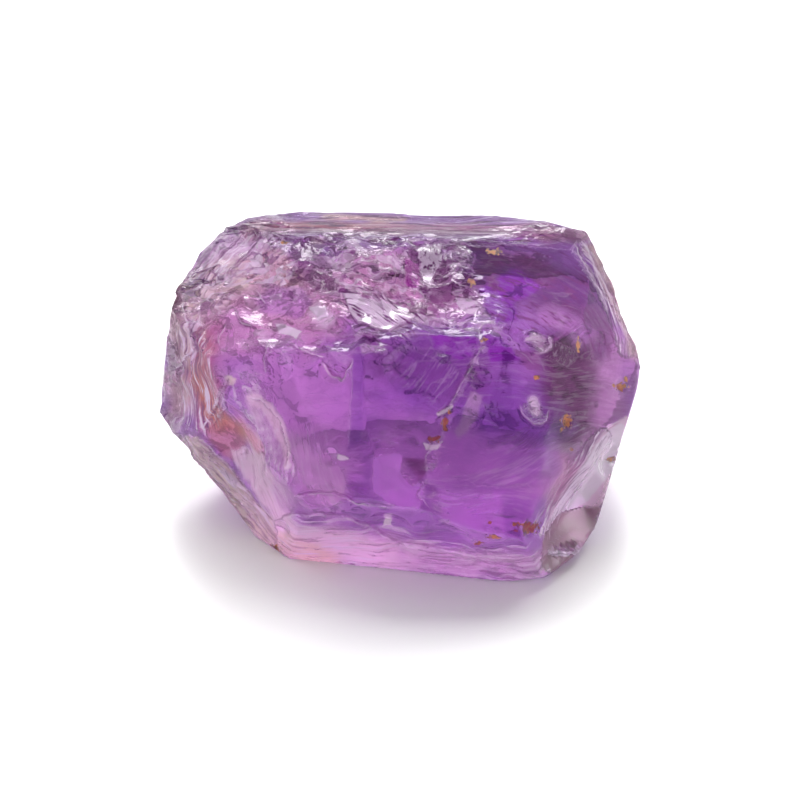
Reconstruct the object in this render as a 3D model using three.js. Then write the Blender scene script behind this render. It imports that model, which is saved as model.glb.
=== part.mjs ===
// A piece of rough amethyst: one natural stone, broken all round, resting on its flat foot.
// Millimetres, z up. The stone's long side runs along x and its broad front face looks to -y.
import * as THREE from "three";

// Driving dimensions.
const SIGHT_ELEVATION = 37; // degrees above the floor from which the marks below were read
const SIGHT_DISTANCE = 300; // from the eye to the middle of the stone
const SIGHT_MIDDLE = [0, -2.4, 13.7]; // the point of the stone the eye looks at
const HEART = [0.5, 1.5, 12]; // every face of the stone can be seen from this inner point
const DIVISIONS = 21; // divisions along each side of the starting icosahedron
const FRONT_CROWDING = 0.3; // how far the divisions crowd towards the eye, 0 for not at all
const CREASE_REACH = 0.4; // share of a mesh side within which a corner moves onto a crease
const CREASE_SLACK = 0.03; // mm by which a moved corner may stand out of another face
const CREASE_STEPS = 48; // moves between the surfaces of a crease before a corner lies on it
const CREASE_NEIGHBOURS = 3; // nearest other surfaces tried for a crease or a peak
const ALMOST_LEVEL = 1e-6; // least slope at which a ray counts as meeting a face
const CHIP_SIZE = 2.4; // mm across one chip of the broken ground
const CHIP_HEIGHT = 0.42; // mm by which a chip tips or stands out, at full strength
const GRIT_SIZE = 1.1; // the same for the small splinters between the chips
const GRIT_HEIGHT = 0.16;
const BACK_CHIPPING = 0.75; // strength of the chipping on the faces turned away
const FRONT_CHIPPING = 0.06; // the least strength on the smooth faces
const SWELL_SIZE = 7; // mm between the slow swells of every face
const SWELL_HEIGHT = 0.22;
const FOOT_CLEAR = 2; // mm above the foot over which the chipping fades in
const GROUND_FULL = 0.6; // broken ground keeps its strength to this share of its half width
const GROUND_END = 1.4; // and has faded out at this share

// Colours and finish.
const STONE_COLOUR = 0x8a5fae;
const STONE_ROUGHNESS = 0.25;

// Broad faces. Each passes through three marks: across and up on the sight plane, then the
// mark's own height z or its own depth y.
const BROAD_FACES = {
  front: [[5, -11.65, "y", -15.9], [5, 6.05, "z", 22.5], [16, -3.45, "y", -9.4]],
  front_right: [[16, -10.45, "y", -12.4], [16, 6.05, "y", -2.6], [23.6, 1.55, "y", 0.6]],
  upper_right: [[5, 6.05, "z", 22.5], [5, 14.85, "z", 25], [19, 6.55, "z", 20.8]],
  top_band: [[-13, 16.35, "z", 24.8], [16, 15.55, "z", 25], [2, 18.35, "z", 23.4]],
  front_left: [[-5.5, -11.65, "y", -15], [-7, 5.05, "z", 21.8], [-17.5, -0.45, "y", -4.9]],
  upper_left: [[-7, 5.05, "z", 21.8], [-13, 16.05, "z", 24.8], [-21, 9.55, "z", 20.3]],
  left_end: [[-17.8, 6.55, "y", -2.9], [-17.2, -3.45, "y", -6.4], [-23, 3.55, "y", 3.1]],
  left_under: [[-17.2, -3.45, "y", -6.4], [-10, -10.95, "y", -13.4], [-22.3, -4.1, "y", -0.4]],
  foot_bevel: [[-12, -16.2, "z", 0], [10, -18.6, "z", 0], [0, -11.95, "y", -15.4]],
  right_band: [[17.7, 15.55, "z", 24.6], [20.6, 7.35, "z", 19.3], [19.1, 16.6, "y", 12]],
  lower_right: [[14, -12.45, "y", -14.4], [20.5, -4.45, "y", -5.4], [17.5, -16.45, "z", 1]],
};

// Rim faces, seen almost edge on. Two marks on the outline, the turn from the line of sight in
// degrees, and how far in front of the stone's middle the outline lies.
const RIM_FACES = {
  top_left: [[-15.4, 17.15], [-5.5, 18.65], 92, -10],
  top_middle: [[-5.5, 18.7], [2, 18.65], 92, -10],
  top_right: [[2, 18.6], [15, 17.25], 92, -10],
  top_corner: [[15, 17.25], [19, 16.25], 92, -6],
  right_upper: [[18.75, 16.3], [23.4, 3.7], 95, -5],
  right_tip: [[24, 2.2], [23.8, 0.2], 88, -3],
  right_lower: [[23.7, 0.2], [19.6, -13.2], 88, -2],
  foot_side: [[19.5, -13.1], [18.1, -15.3], 84, 0],
  foot_corner: [[18.1, -15.3], [14.6, -18.1], 80, 2],
  foot_right: [[14.2, -18.2], [10, -18.65], 80, 2],
  lower_left: [[-13, -15.9], [-18.9, -9.5], 84, 0],
  lower_left_middle: [[-19.1, -9.6], [-22.6, -5.1], 84, -2],
  lower_left_tip: [[-22.3, -5.05], [-23.7, -2.1], 84, -4],
  left_tip: [[-23.9, -0.45], [-23.5, 5.05], 88, -6],
  left_upper: [[-23.3, 6.05], [-22.75, 8.7], 88, -6],
  left_shoulder: [[-22.75, 8.7], [-20.4, 13.3], 88, -6],
  left_corner: [[-20.3, 13.9], [-17.5, 16.35], 88, -7],
  left_top: [[-17.5, 16.35], [-13.8, 17.65], 88, -8],
};

// Faces turned away from the eye. Direction they look in (degrees round from +x, degrees above
// the floor) and one point on each.
const HIDDEN_FACES = {
  back_top: [88, 30, [0, 16.6, 23.3]],
  back: [93, -2, [0, 16, 12]],
  back_low: [87, -38, [0, 12.1, 3]],
  back_left: [143, 4, [-21.8, 12.6, 15]],
  back_right: [50, 4, [21.6, 12.8, 15]],
  under_left: [195, -42, [-15.8, -5.2, 0.5]],
  under_right: [8, -40, [18, -2.4, 0.6]],
  under_back_left: [130, -45, [-12, 5.6, 1]],
};

// Flake scars on the side facing the eye: across and up of the middle, half width and depth.
const FLAKE_SCARS = {
  middle_flake: [0.9, -1.8, 6.6, 0.9],
  scoop: [-17.2, -4.6, 5.6, 2.1],
  scoop_tail: [-12.6, -9.3, 3.6, 0.7],
  ribbed_shell: [-1.8, 8.3, 3.6, 1.1],
  left_shell: [-8, 8.4, 2.2, 0.6],
  round_shell: [-5.8, 13, 1.5, 0.5],
  small_shell: [-2.3, 12.3, 1.3, 0.45],
  winged_flake: [3, 12.7, 2.3, 0.8],
  dark_notch: [1.3, 14, 1.3, 0.7],
  bright_strip: [1, 11.2, 1.5, 0.6],
  corner_hollow: [-14.5, 13, 2.8, 0.8],
  corner_chip: [-11.6, 9.6, 2, 0.6],
  pale_chip: [6.7, 8.8, 1.6, 0.6],
  brow_left: [-15, 6, 1.5, 0.5],
  brow_middle: [-10.8, 5, 2, 0.6],
  crescent: [-6.5, 2.8, 1.7, 0.6],
  brow_right: [0.4, 5.6, 1.7, 0.5],
  brow_end: [4.6, 5, 1.9, 0.6],
  brow_last: [11, 5.6, 1.6, 0.5],
  white_nick: [13.9, 5.3, 1.1, 0.5],
  shell_nick: [13.4, -1.3, 1.2, 0.4],
  dark_patch: [1.2, -7.6, 2, 0.7],
  bright_patch: [-1, -9.2, 2.8, 0.6],
  lower_patch: [7, -11.8, 3.4, 0.5],
  glint_chip: [-6.9, -6.1, 0.9, 0.3],
  foot_flake_left: [-10, -11.2, 2.6, 0.5],
  foot_flake_middle: [-4.6, -11.6, 2.4, 0.5],
  foot_flake_right: [11, -17.6, 1.8, 0.5],
  foot_chip: [15.6, -15.9, 1.9, 0.6],
  lower_right_hollow: [17.4, -11.8, 5, 1.3],
  right_notch: [21.2, -6.6, 1.8, 0.7],
  end_chip_high: [-21.6, 8.8, 2.6, 0.6],
  end_chip: [-22.9, 5.2, 2, 0.6],
  end_chip_low: [-22.8, 0.4, 2.4, 0.6],
  end_blade: [-19.4, -0.6, 3, 0.6],
  rust_pit_large: [12.8, -13.2, 0.9, 0.45],
  rust_pit_yellow: [16.8, -2.6, 0.7, 0.4],
  rust_pit_edge: [22.2, 0.9, 0.7, 0.35],
  rust_pit_vein: [4.5, -3, 0.8, 0.4],
  rust_pit_low: [3.7, -4.5, 0.8, 0.4],
};

// Flake scars turned away from the eye: degrees round and above the floor as seen from the
// heart, half width and depth.
const HIDDEN_SCARS = {
  back_wide: [100, 5, 9, 1.6],
  back_right_wide: [50, 8, 7.5, 1.4],
  back_left_wide: [150, 10, 7, 1.5],
  back_high: [75, 35, 5, 0.9],
  back_low_wide: [80, -25, 6, 1.2],
  under_left_wide: [188, -30, 6, 1],
  right_side: [28, -14, 4, 0.7],
};

// Broken ground: stretches from one mark to another on the sight plane, half width, strength.
const BROKEN_GROUND = {
  left_shoulder: [[-20.5, 11], [-15, 14.5], 4.2, 1],
  rough_field_high: [[-14, 12.5], [4, 12.5], 3.4, 1],
  rough_field_low: [[-14, 8], [8, 8.4], 2.6, 0.9],
  brow: [[-16, 5.6], [8.5, 5.8], 1.6, 0.6],
  left_edge: [[-22.6, 9], [-22.8, -2], 2.2, 0.8],
  lower_left_bevel: [[-21, -5.5], [-13, -14.5], 1.4, 0.4],
  vein_high: [[7.9, 3], [7, 1], 0.9, 0.5],
  vein_middle: [[7, 1], [4.6, -2.6], 0.9, 0.5],
  vein_low: [[4.4, -3], [2.8, -7], 0.8, 0.5],
  vein_foot: [[2.6, -9], [4.6, -12.5], 0.6, 0.5],
  foot_band: [[-11, -13.5], [13, -16], 2.2, 0.2],
  corner_crinkle: [[14.5, -15.6], [18.2, -15.3], 0.5, 0.8],
  lower_right_edge: [[20.5, -4], [14.5, -14.5], 1.8, 0.3],
};

const rad = THREE.MathUtils.degToRad;
const vec = (list) => new THREE.Vector3(...list);
const tilt = rad(SIGHT_ELEVATION);
const across = vec([1, 0, 0]);
const upward = vec([0, Math.sin(tilt), Math.cos(tilt)]);
const toEye = vec([0, -Math.cos(tilt), Math.sin(tilt)]);
const middle = vec(SIGHT_MIDDLE);
const heart = vec(HEART);
const eye = middle.clone().addScaledVector(toEye, SIGHT_DISTANCE);

// The ray from the eye through a mark on the sight plane, one unit long.
function sightLine(a, u) {
  const mark = middle.clone().addScaledVector(across, a).addScaledVector(upward, u);
  return mark.sub(eye).normalize();
}

// The point of the ray at a given height or depth.
function sighted([a, u, axis, value]) {
  const line = sightLine(a, u);
  return eye.clone().addScaledVector(line, (value - eye[axis]) / line[axis]);
}

// Where a point appears on the sight plane.
function seenAt(point) {
  const line = point.clone().sub(eye);
  const scale = SIGHT_DISTANCE / -line.dot(toEye);
  return [line.dot(across) * scale, line.dot(upward) * scale];
}

// A direction from degrees round from +x and degrees above the floor.
function heading(round, above) {
  const flat = Math.cos(rad(above));
  return vec([flat * Math.cos(rad(round)), flat * Math.sin(rad(round)), Math.sin(rad(above))]);
}

// A flat face, kept as its outward direction and its distance from the heart.
function flatFace(normal, point) {
  const n = normal.clone().normalize();
  const distance = n.dot(point.clone().sub(heart));
  if (distance < 0) return { n: n.negate(), distance: -distance };
  return { n, distance };
}

const flats = [flatFace(vec([0, 0, -1]), vec([0, 0, 0]))];
for (const marks of Object.values(BROAD_FACES)) {
  const [p, q, r] = marks.map(sighted);
  flats.push(flatFace(q.clone().sub(p).cross(r.clone().sub(p)), p));
}
for (const [from, to, turn, depth] of Object.values(RIM_FACES)) {
  const shrink = (SIGHT_DISTANCE - depth) / SIGHT_DISTANCE;
  const side = across.clone().multiplyScalar(from[1] - to[1]);
  side.addScaledVector(upward, to[0] - from[0]).normalize();
  const mark = middle.clone().addScaledVector(across, from[0] * shrink);
  mark.addScaledVector(upward, from[1] * shrink).addScaledVector(toEye, depth);
  if (side.dot(mark.clone().sub(middle)) < 0) side.negate();
  const lean = rad(turn);
  const n = side.multiplyScalar(Math.sin(lean)).addScaledVector(toEye, Math.cos(lean));
  flats.push(flatFace(n, mark));
}
for (const [round, above, point] of Object.values(HIDDEN_FACES)) {
  flats.push(flatFace(heading(round, above), vec(point)));
}

// The flat face that stops a ray leaving a point inside or outside the stone.
function firstFlat(direction) {
  let best = null;
  let least = Infinity;
  for (const flat of flats) {
    const along = flat.n.dot(direction);
    if (along > ALMOST_LEVEL && flat.distance / along < least) {
      least = flat.distance / along;
      best = flat;
    }
  }
  return { flat: best, length: least };
}

// Where the ray from the eye through a mark enters the flat-faced stone.
function entry(a, u) {
  const line = sightLine(a, u);
  const start = eye.clone().sub(heart);
  let best = flats[0];
  let furthest = -Infinity;
  for (const flat of flats) {
    const along = flat.n.dot(line);
    const t = (flat.distance - flat.n.dot(start)) / along;
    if (along < 0 && t > furthest) {
      furthest = t;
      best = flat;
    }
  }
  return { flat: best, point: start.addScaledVector(line, furthest) };
}

// A flake scar is the hollow left by a ball that sinks into a face.
function scarBall(flat, point, halfWidth, depth) {
  const radius = (halfWidth * halfWidth + depth * depth) / (2 * depth);
  return { centre: point.clone().addScaledVector(flat.n, radius - depth), radius };
}

const balls = [];
for (const [a, u, halfWidth, depth] of Object.values(FLAKE_SCARS)) {
  const { flat, point } = entry(a, u);
  balls.push(scarBall(flat, point, halfWidth, depth));
}
for (const [round, above, halfWidth, depth] of Object.values(HIDDEN_SCARS)) {
  const direction = heading(round, above);
  const { flat, length } = firstFlat(direction);
  balls.push(scarBall(flat, direction.multiplyScalar(length), halfWidth, depth));
}

// How far the stone reaches from its heart in a direction, and which face is met there.
function reach(direction) {
  let { flat: met, length } = firstFlat(direction);
  for (const ball of balls) {
    const along = direction.dot(ball.centre);
    const gap = ball.centre.lengthSq() - ball.radius * ball.radius;
    const square = along * along - gap;
    if (along <= 0 || square <= 0) continue;
    const near = along - Math.sqrt(square);
    if (near < length) {
      length = near;
      met = ball;
    }
  }
  return { met, length };
}

// Signed height of a point over a face or a scar, with the direction of its increase.
function heightOver(surface, point) {
  if (surface.n) return { value: surface.n.dot(point) - surface.distance, slope: surface.n };
  const slope = surface.centre.clone().sub(point);
  const away = slope.length();
  return { value: surface.radius - away, slope: slope.divideScalar(away) };
}

// The least move that brings a point onto two or three surfaces at once.
function moveOnto(point, surfaces) {
  const moved = point.clone();
  for (let i = 0; i < CREASE_STEPS; i++) {
    for (const surface of surfaces) {
      const { value, slope } = heightOver(surface, moved);
      moved.addScaledVector(slope, -value);
    }
  }
  return moved;
}

// How far a point lies outside the face or scar that it most stands out of.
function standsOut(point) {
  let most = -Infinity;
  for (const surface of [...flats, ...balls]) {
    most = Math.max(most, heightOver(surface, point).value);
  }
  return most;
}

// A corner of the mesh near a crease moves onto the crease, and near a peak onto the peak.
function settleOnCrease(point, met, limit) {
  const near = [];
  for (const surface of [...flats, ...balls]) {
    if (surface === met) continue;
    const { value } = heightOver(surface, point);
    if (value > -limit) near.push({ surface, value });
  }
  near.sort((p, q) => q.value - p.value);
  const others = near.slice(0, CREASE_NEIGHBOURS).map((entry) => entry.surface);
  let best = null;
  for (let i = 0; i < others.length; i++) {
    const onCrease = moveOnto(point, [met, others[i]]);
    if (onCrease.distanceTo(point) < limit && standsOut(onCrease) < CREASE_SLACK) {
      best = best ?? onCrease;
    }
    for (let j = i + 1; j < others.length; j++) {
      const onPeak = moveOnto(point, [met, others[i], others[j]]);
      const close = onPeak.distanceTo(point) < limit;
      if (close && standsOut(onPeak) < CREASE_SLACK) return onPeak;
    }
  }
  return best ?? point;
}

// A number from 0 to 1 that looks random, fixed for a cell of space.
function scatter(i, j, k, salt) {
  const wave = Math.sin(i * 127.1 + j * 311.7 + k * 74.7 + salt * 53.3) * 43758.5453;
  return wave - Math.floor(wave);
}

// Broken ground as tipped flat chips, each as large as its cell and tipped its own way.
function chips(point, size, salt) {
  const x = point.x / size;
  const y = point.y / size;
  const z = point.z / size;
  let least = Infinity;
  let height = 0;
  for (let i = Math.floor(x) - 1; i <= Math.floor(x) + 1; i++) {
    for (let j = Math.floor(y) - 1; j <= Math.floor(y) + 1; j++) {
      for (let k = Math.floor(z) - 1; k <= Math.floor(z) + 1; k++) {
        const dx = x - i - scatter(i, j, k, salt);
        const dy = y - j - scatter(i, j, k, salt + 1);
        const dz = z - k - scatter(i, j, k, salt + 2);
        const apart = dx * dx + dy * dy + dz * dz;
        if (apart >= least) continue;
        least = apart;
        const tipX = scatter(i, j, k, salt + 3) * 2 - 1;
        const tipY = scatter(i, j, k, salt + 4) * 2 - 1;
        const tipZ = scatter(i, j, k, salt + 5) * 2 - 1;
        const lift = scatter(i, j, k, salt + 6) - 0.5;
        height = tipX * dx + tipY * dy + tipZ * dz + lift;
      }
    }
  }
  return height;
}

const smooth = THREE.MathUtils.smoothstep;

// Slow swells, between -1 and 1.
function swells(point) {
  const x = point.x / SWELL_SIZE;
  const y = point.y / SWELL_SIZE;
  const z = point.z / SWELL_SIZE;
  const first = Math.sin(2.1 * x + 1.3 * y + 0.7);
  const second = Math.sin(1.7 * y - 2.3 * z + 2.1);
  const third = Math.sin(1.9 * z + 1.1 * x + 4.2);
  return (first + second + third) / 3;
}

// Strength of the chipping at a point of the surface.
function brokenness(point, facing) {
  if (facing < 0) return BACK_CHIPPING;
  const [a, u] = seenAt(point);
  let strength = FRONT_CHIPPING;
  for (const [from, to, halfWidth, most] of Object.values(BROKEN_GROUND)) {
    const run = [to[0] - from[0], to[1] - from[1]];
    const passed = (a - from[0]) * run[0] + (u - from[1]) * run[1];
    const share = Math.min(1, Math.max(0, passed / (run[0] * run[0] + run[1] * run[1])));
    const away = Math.hypot(a - from[0] - share * run[0], u - from[1] - share * run[1]);
    const fade = smooth(away, GROUND_FULL * halfWidth, GROUND_END * halfWidth);
    strength = Math.max(strength, most * (1 - fade));
  }
  return strength;
}

// How far a point of the surface is raised along its own ray.
function relief(point, facing) {
  const rough = chips(point, CHIP_SIZE, 1) * CHIP_HEIGHT + chips(point, GRIT_SIZE, 21) * GRIT_HEIGHT;
  const swell = swells(point) * SWELL_HEIGHT;
  return (rough * brokenness(point, facing) + swell) * smooth(point.z, 0, FOOT_CLEAR);
}

// An icosahedron with each side divided, its corners pushed out to a sphere and shared.
function dividedBall(divisions) {
  const source = new THREE.IcosahedronGeometry(1, divisions - 1).getAttribute("position");
  const known = new Map();
  const corners = [];
  const index = [];
  for (let i = 0; i < source.count; i++) {
    const p = new THREE.Vector3().fromBufferAttribute(source, i).normalize();
    const key = p.toArray().map((v) => Math.round(v * 1e5)).join();
    if (!known.has(key)) {
      known.set(key, corners.length);
      corners.push(p);
    }
    index.push(known.get(key));
  }
  return { corners, index };
}

const { corners, index } = dividedBall(DIVISIONS);
// The side of an even triangle whose area, side squared by √3 / 4, is one face's share of the ball.
const faceArea = (4 * Math.PI) / (index.length / 3);
const fullSide = Math.sqrt((faceArea * 4) / Math.sqrt(3));
const positions = [];
for (const corner of corners) {
  const leaned = corner.clone().addScaledVector(toEye, FRONT_CROWDING);
  const side = fullSide / leaned.length();
  const direction = leaned.normalize();
  const { met, length } = reach(direction);
  const start = direction.clone().multiplyScalar(length);
  const settled = settleOnCrease(start, met, CREASE_REACH * side * length);
  const point = settled.clone().add(heart);
  const facing = heightOver(met, settled).slope.dot(toEye);
  point.addScaledVector(settled.clone().normalize(), relief(point, facing));
  positions.push(point.x, point.y, Math.max(0, point.z));
}

const geometry = new THREE.BufferGeometry();
geometry.setAttribute("position", new THREE.Float32BufferAttribute(positions, 3));
geometry.setIndex(index);
geometry.computeVertexNormals();

const material = new THREE.MeshStandardMaterial({
  color: STONE_COLOUR,
  roughness: STONE_ROUGHNESS,
  metalness: 0,
  flatShading: true,
});
const stone = new THREE.Mesh(geometry, material);
stone.name = "rough_amethyst";

const part = new THREE.Group();
part.name = "rough_amethyst_part";
part.add(stone);

export default part;
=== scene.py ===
# %% [markdown]
# # A piece of rough amethyst
# The real object is one broken piece of purple quartz, about 48 mm long, standing on its own flat
# foot. Its broad front is smooth as glass, its left shoulder is chipped, and round hollows show
# where flakes came away. This lesson works the stone's surface out with numpy, gives it a
# see-through violet material, and lights it on a white floor.

# %% Open the frame
import math

import bpy
import numpy as np
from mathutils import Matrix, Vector


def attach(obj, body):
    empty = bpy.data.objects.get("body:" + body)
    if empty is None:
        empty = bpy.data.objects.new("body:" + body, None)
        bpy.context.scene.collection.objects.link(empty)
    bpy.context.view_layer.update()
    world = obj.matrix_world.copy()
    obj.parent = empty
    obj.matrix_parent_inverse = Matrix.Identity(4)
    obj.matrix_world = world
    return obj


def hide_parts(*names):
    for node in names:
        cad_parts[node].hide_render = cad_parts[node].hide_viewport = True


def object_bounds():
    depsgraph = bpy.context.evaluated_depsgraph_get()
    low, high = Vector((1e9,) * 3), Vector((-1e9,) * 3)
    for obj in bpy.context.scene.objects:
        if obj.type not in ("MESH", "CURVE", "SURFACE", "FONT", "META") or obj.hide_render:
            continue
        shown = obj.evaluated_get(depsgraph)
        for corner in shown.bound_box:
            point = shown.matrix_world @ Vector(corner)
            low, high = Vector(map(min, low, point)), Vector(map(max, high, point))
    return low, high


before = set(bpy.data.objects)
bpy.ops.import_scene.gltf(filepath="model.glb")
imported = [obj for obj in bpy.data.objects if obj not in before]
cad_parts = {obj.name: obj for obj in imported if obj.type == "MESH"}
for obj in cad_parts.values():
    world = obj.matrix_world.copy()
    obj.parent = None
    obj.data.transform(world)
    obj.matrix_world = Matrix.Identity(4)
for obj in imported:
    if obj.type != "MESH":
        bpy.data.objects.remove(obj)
cad_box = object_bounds()
print("CAD box in metres:", [[round(v, 4) for v in corner] for corner in cad_box])

# %% [markdown]
# ## Where the marks are read from
# Every mark on the stone is given as the eye sees it: so many millimetres across and up on a
# plane through the stone's middle. The eye stands 37 degrees above the floor in front of the
# stone. Turning such a mark back into a place in space needs only the ray through it.

# %% The eye and its sight plane
MM = 0.001  # one millimetre in metres
SIGHT_ELEVATION = math.radians(37)
SIGHT_DISTANCE = 300.0
SIGHT_MIDDLE = np.array([0.0, -2.4, 13.7])
HEART = np.array([0.5, 1.5, 12.0])

ACROSS = np.array([1.0, 0.0, 0.0])
UPWARD = np.array([0.0, math.sin(SIGHT_ELEVATION), math.cos(SIGHT_ELEVATION)])
TO_EYE = np.array([0.0, -math.cos(SIGHT_ELEVATION), math.sin(SIGHT_ELEVATION)])
EYE = SIGHT_MIDDLE + SIGHT_DISTANCE * TO_EYE


def unit(v):
    """A vector, or each row of an array of vectors, divided by its length."""
    v = np.asarray(v, float)
    return v / np.linalg.norm(v, axis=-1, keepdims=True)


def sight_line(across, up):
    """The direction from the eye through a mark on the sight plane."""
    return unit(SIGHT_MIDDLE + across * ACROSS + up * UPWARD - EYE)


def sighted(across, up, axis, value):
    """The point of a sight line whose height z or depth y has a given value."""
    line = sight_line(across, up)
    i = "xyz".index(axis)
    return EYE + line * (value - EYE[i]) / line[i]


def seen_at(points):
    """Across and up of points on the sight plane: the ray from the eye, scaled to meet it."""
    line = points - EYE
    scale = SIGHT_DISTANCE / -(line @ TO_EYE)
    return (line @ ACROSS) * scale, (line @ UPWARD) * scale


def heading(round_deg, above_deg):
    """A direction from degrees round from +x and degrees above the floor."""
    a, b = math.radians(round_deg), math.radians(above_deg)
    return np.array([math.cos(b) * math.cos(a), math.cos(b) * math.sin(a), math.sin(b)])


print("eye at", EYE.round(1), "mm")

# %% [markdown]
# ## The flat faces
# A broken crystal is mostly flat faces. Each broad one is fixed by three marks, each with its own
# height or depth. The rim faces are seen nearly edge on, so two marks on the outline and a lean
# fix them. The faces turned away are made up in the same manner.

# %% Broad faces
BROAD_FACES = {
    "front": [(5, -11.65, "y", -15.9), (5, 6.05, "z", 22.5), (16, -3.45, "y", -9.4)],
    "front_right": [(16, -10.45, "y", -12.4), (16, 6.05, "y", -2.6), (23.6, 1.55, "y", 0.6)],
    "upper_right": [(5, 6.05, "z", 22.5), (5, 14.85, "z", 25), (19, 6.55, "z", 20.8)],
    "top_band": [(-13, 16.35, "z", 24.8), (16, 15.55, "z", 25), (2, 18.35, "z", 23.4)],
    "front_left": [(-5.5, -11.65, "y", -15), (-7, 5.05, "z", 21.8), (-17.5, -0.45, "y", -4.9)],
    "upper_left": [(-7, 5.05, "z", 21.8), (-13, 16.05, "z", 24.8), (-21, 9.55, "z", 20.3)],
    "left_end": [(-17.8, 6.55, "y", -2.9), (-17.2, -3.45, "y", -6.4), (-23, 3.55, "y", 3.1)],
    "left_under": [(-17.2, -3.45, "y", -6.4), (-10, -10.95, "y", -13.4), (-22.3, -4.1, "y", -0.4)],
    "foot_bevel": [(-12, -16.2, "z", 0), (10, -18.6, "z", 0), (0, -11.95, "y", -15.4)],
    "right_band": [(17.7, 15.55, "z", 24.6), (20.6, 7.35, "z", 19.3), (19.1, 16.6, "y", 12)],
    "lower_right": [(14, -12.45, "y", -14.4), (20.5, -4.45, "y", -5.4), (17.5, -16.45, "z", 1)],
}
print(len(BROAD_FACES), "broad faces")

# %% Faces on the outline
# Two marks on the outline, the turn from the line of sight in degrees, and how far in front of
# the stone's middle the outline lies.
RIM_FACES = {
    "top_left": [(-15.4, 17.15), (-5.5, 18.65), 92, -10],
    "top_middle": [(-5.5, 18.7), (2, 18.65), 92, -10],
    "top_right": [(2, 18.6), (15, 17.25), 92, -10],
    "top_corner": [(15, 17.25), (19, 16.25), 92, -6],
    "right_upper": [(18.75, 16.3), (23.4, 3.7), 95, -5],
    "right_tip": [(24, 2.2), (23.8, 0.2), 88, -3],
    "right_lower": [(23.7, 0.2), (19.6, -13.2), 88, -2],
    "foot_side": [(19.5, -13.1), (18.1, -15.3), 84, 0],
    "foot_corner": [(18.1, -15.3), (14.6, -18.1), 80, 2],
    "foot_right": [(14.2, -18.2), (10, -18.65), 80, 2],
    "lower_left": [(-13, -15.9), (-18.9, -9.5), 84, 0],
    "lower_left_middle": [(-19.1, -9.6), (-22.6, -5.1), 84, -2],
    "lower_left_tip": [(-22.3, -5.05), (-23.7, -2.1), 84, -4],
    "left_tip": [(-23.9, -0.45), (-23.5, 5.05), 88, -6],
    "left_upper": [(-23.3, 6.05), (-22.75, 8.7), 88, -6],
    "left_shoulder": [(-22.75, 8.7), (-20.4, 13.3), 88, -6],
    "left_corner": [(-20.3, 13.9), (-17.5, 16.35), 88, -7],
    "left_top": [(-17.5, 16.35), (-13.8, 17.65), 88, -8],
}
print(len(RIM_FACES), "faces on the outline")

# %% Hidden faces
# Degrees round and above the floor, and one point on the face.
HIDDEN_FACES = {
    "back_top": [88, 30, (0, 16.6, 23.3)],
    "back": [93, -2, (0, 16, 12)],
    "back_low": [87, -38, (0, 12.1, 3)],
    "back_left": [143, 4, (-21.8, 12.6, 15)],
    "back_right": [50, 4, (21.6, 12.8, 15)],
    "under_left": [195, -42, (-15.8, -5.2, 0.5)],
    "under_right": [8, -40, (18, -2.4, 0.6)],
    "under_back_left": [130, -45, (-12, 5.6, 1)],
}
print(len(HIDDEN_FACES), "hidden faces")

# %% [markdown]
# ## From marks to faces
# A flat face is no more than the way it looks and how far from the stone's heart it lies. The
# foot is the first of them, so that the stone stands on it.

# %% Faces as directions and distances
def flat_face(normal, point):
    """A face as its outward direction and its distance from the heart."""
    n = unit(normal)
    distance = n @ (np.asarray(point, float) - HEART)
    return (n, distance) if distance > 0 else (-n, -distance)


def rim_face(start, end, turn, depth):
    """A face through two marks of the outline, turned from the line of sight by some degrees."""
    shrink = (SIGHT_DISTANCE - depth) / SIGHT_DISTANCE
    side = unit(ACROSS * (start[1] - end[1]) + UPWARD * (end[0] - start[0]))
    mark = SIGHT_MIDDLE + (ACROSS * start[0] + UPWARD * start[1]) * shrink + TO_EYE * depth
    if side @ (mark - SIGHT_MIDDLE) < 0:
        side = -side
    lean = math.radians(turn)
    return flat_face(side * math.sin(lean) + TO_EYE * math.cos(lean), mark)


flats = [flat_face((0, 0, -1), (0, 0, 0))]
for marks in BROAD_FACES.values():
    p, q, r = (sighted(*mark) for mark in marks)
    flats.append(flat_face(np.cross(q - p, r - p), p))
flats += [rim_face(*marks) for marks in RIM_FACES.values()]
flats += [flat_face(heading(a, b), point) for a, b, point in HIDDEN_FACES.values()]
FLAT_NORMALS = np.array([n for n, _ in flats])
FLAT_DISTANCES = np.array([d for _, d in flats])
print(len(flats), "flat faces, the foot among them")

# %% [markdown]
# ## The flake scars
# Quartz has no cleavage: a knock lifts a shell-shaped flake and leaves a round hollow. A ball
# sunk into a face leaves just such a hollow, so each scar is a mark, a half width and a depth.

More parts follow.
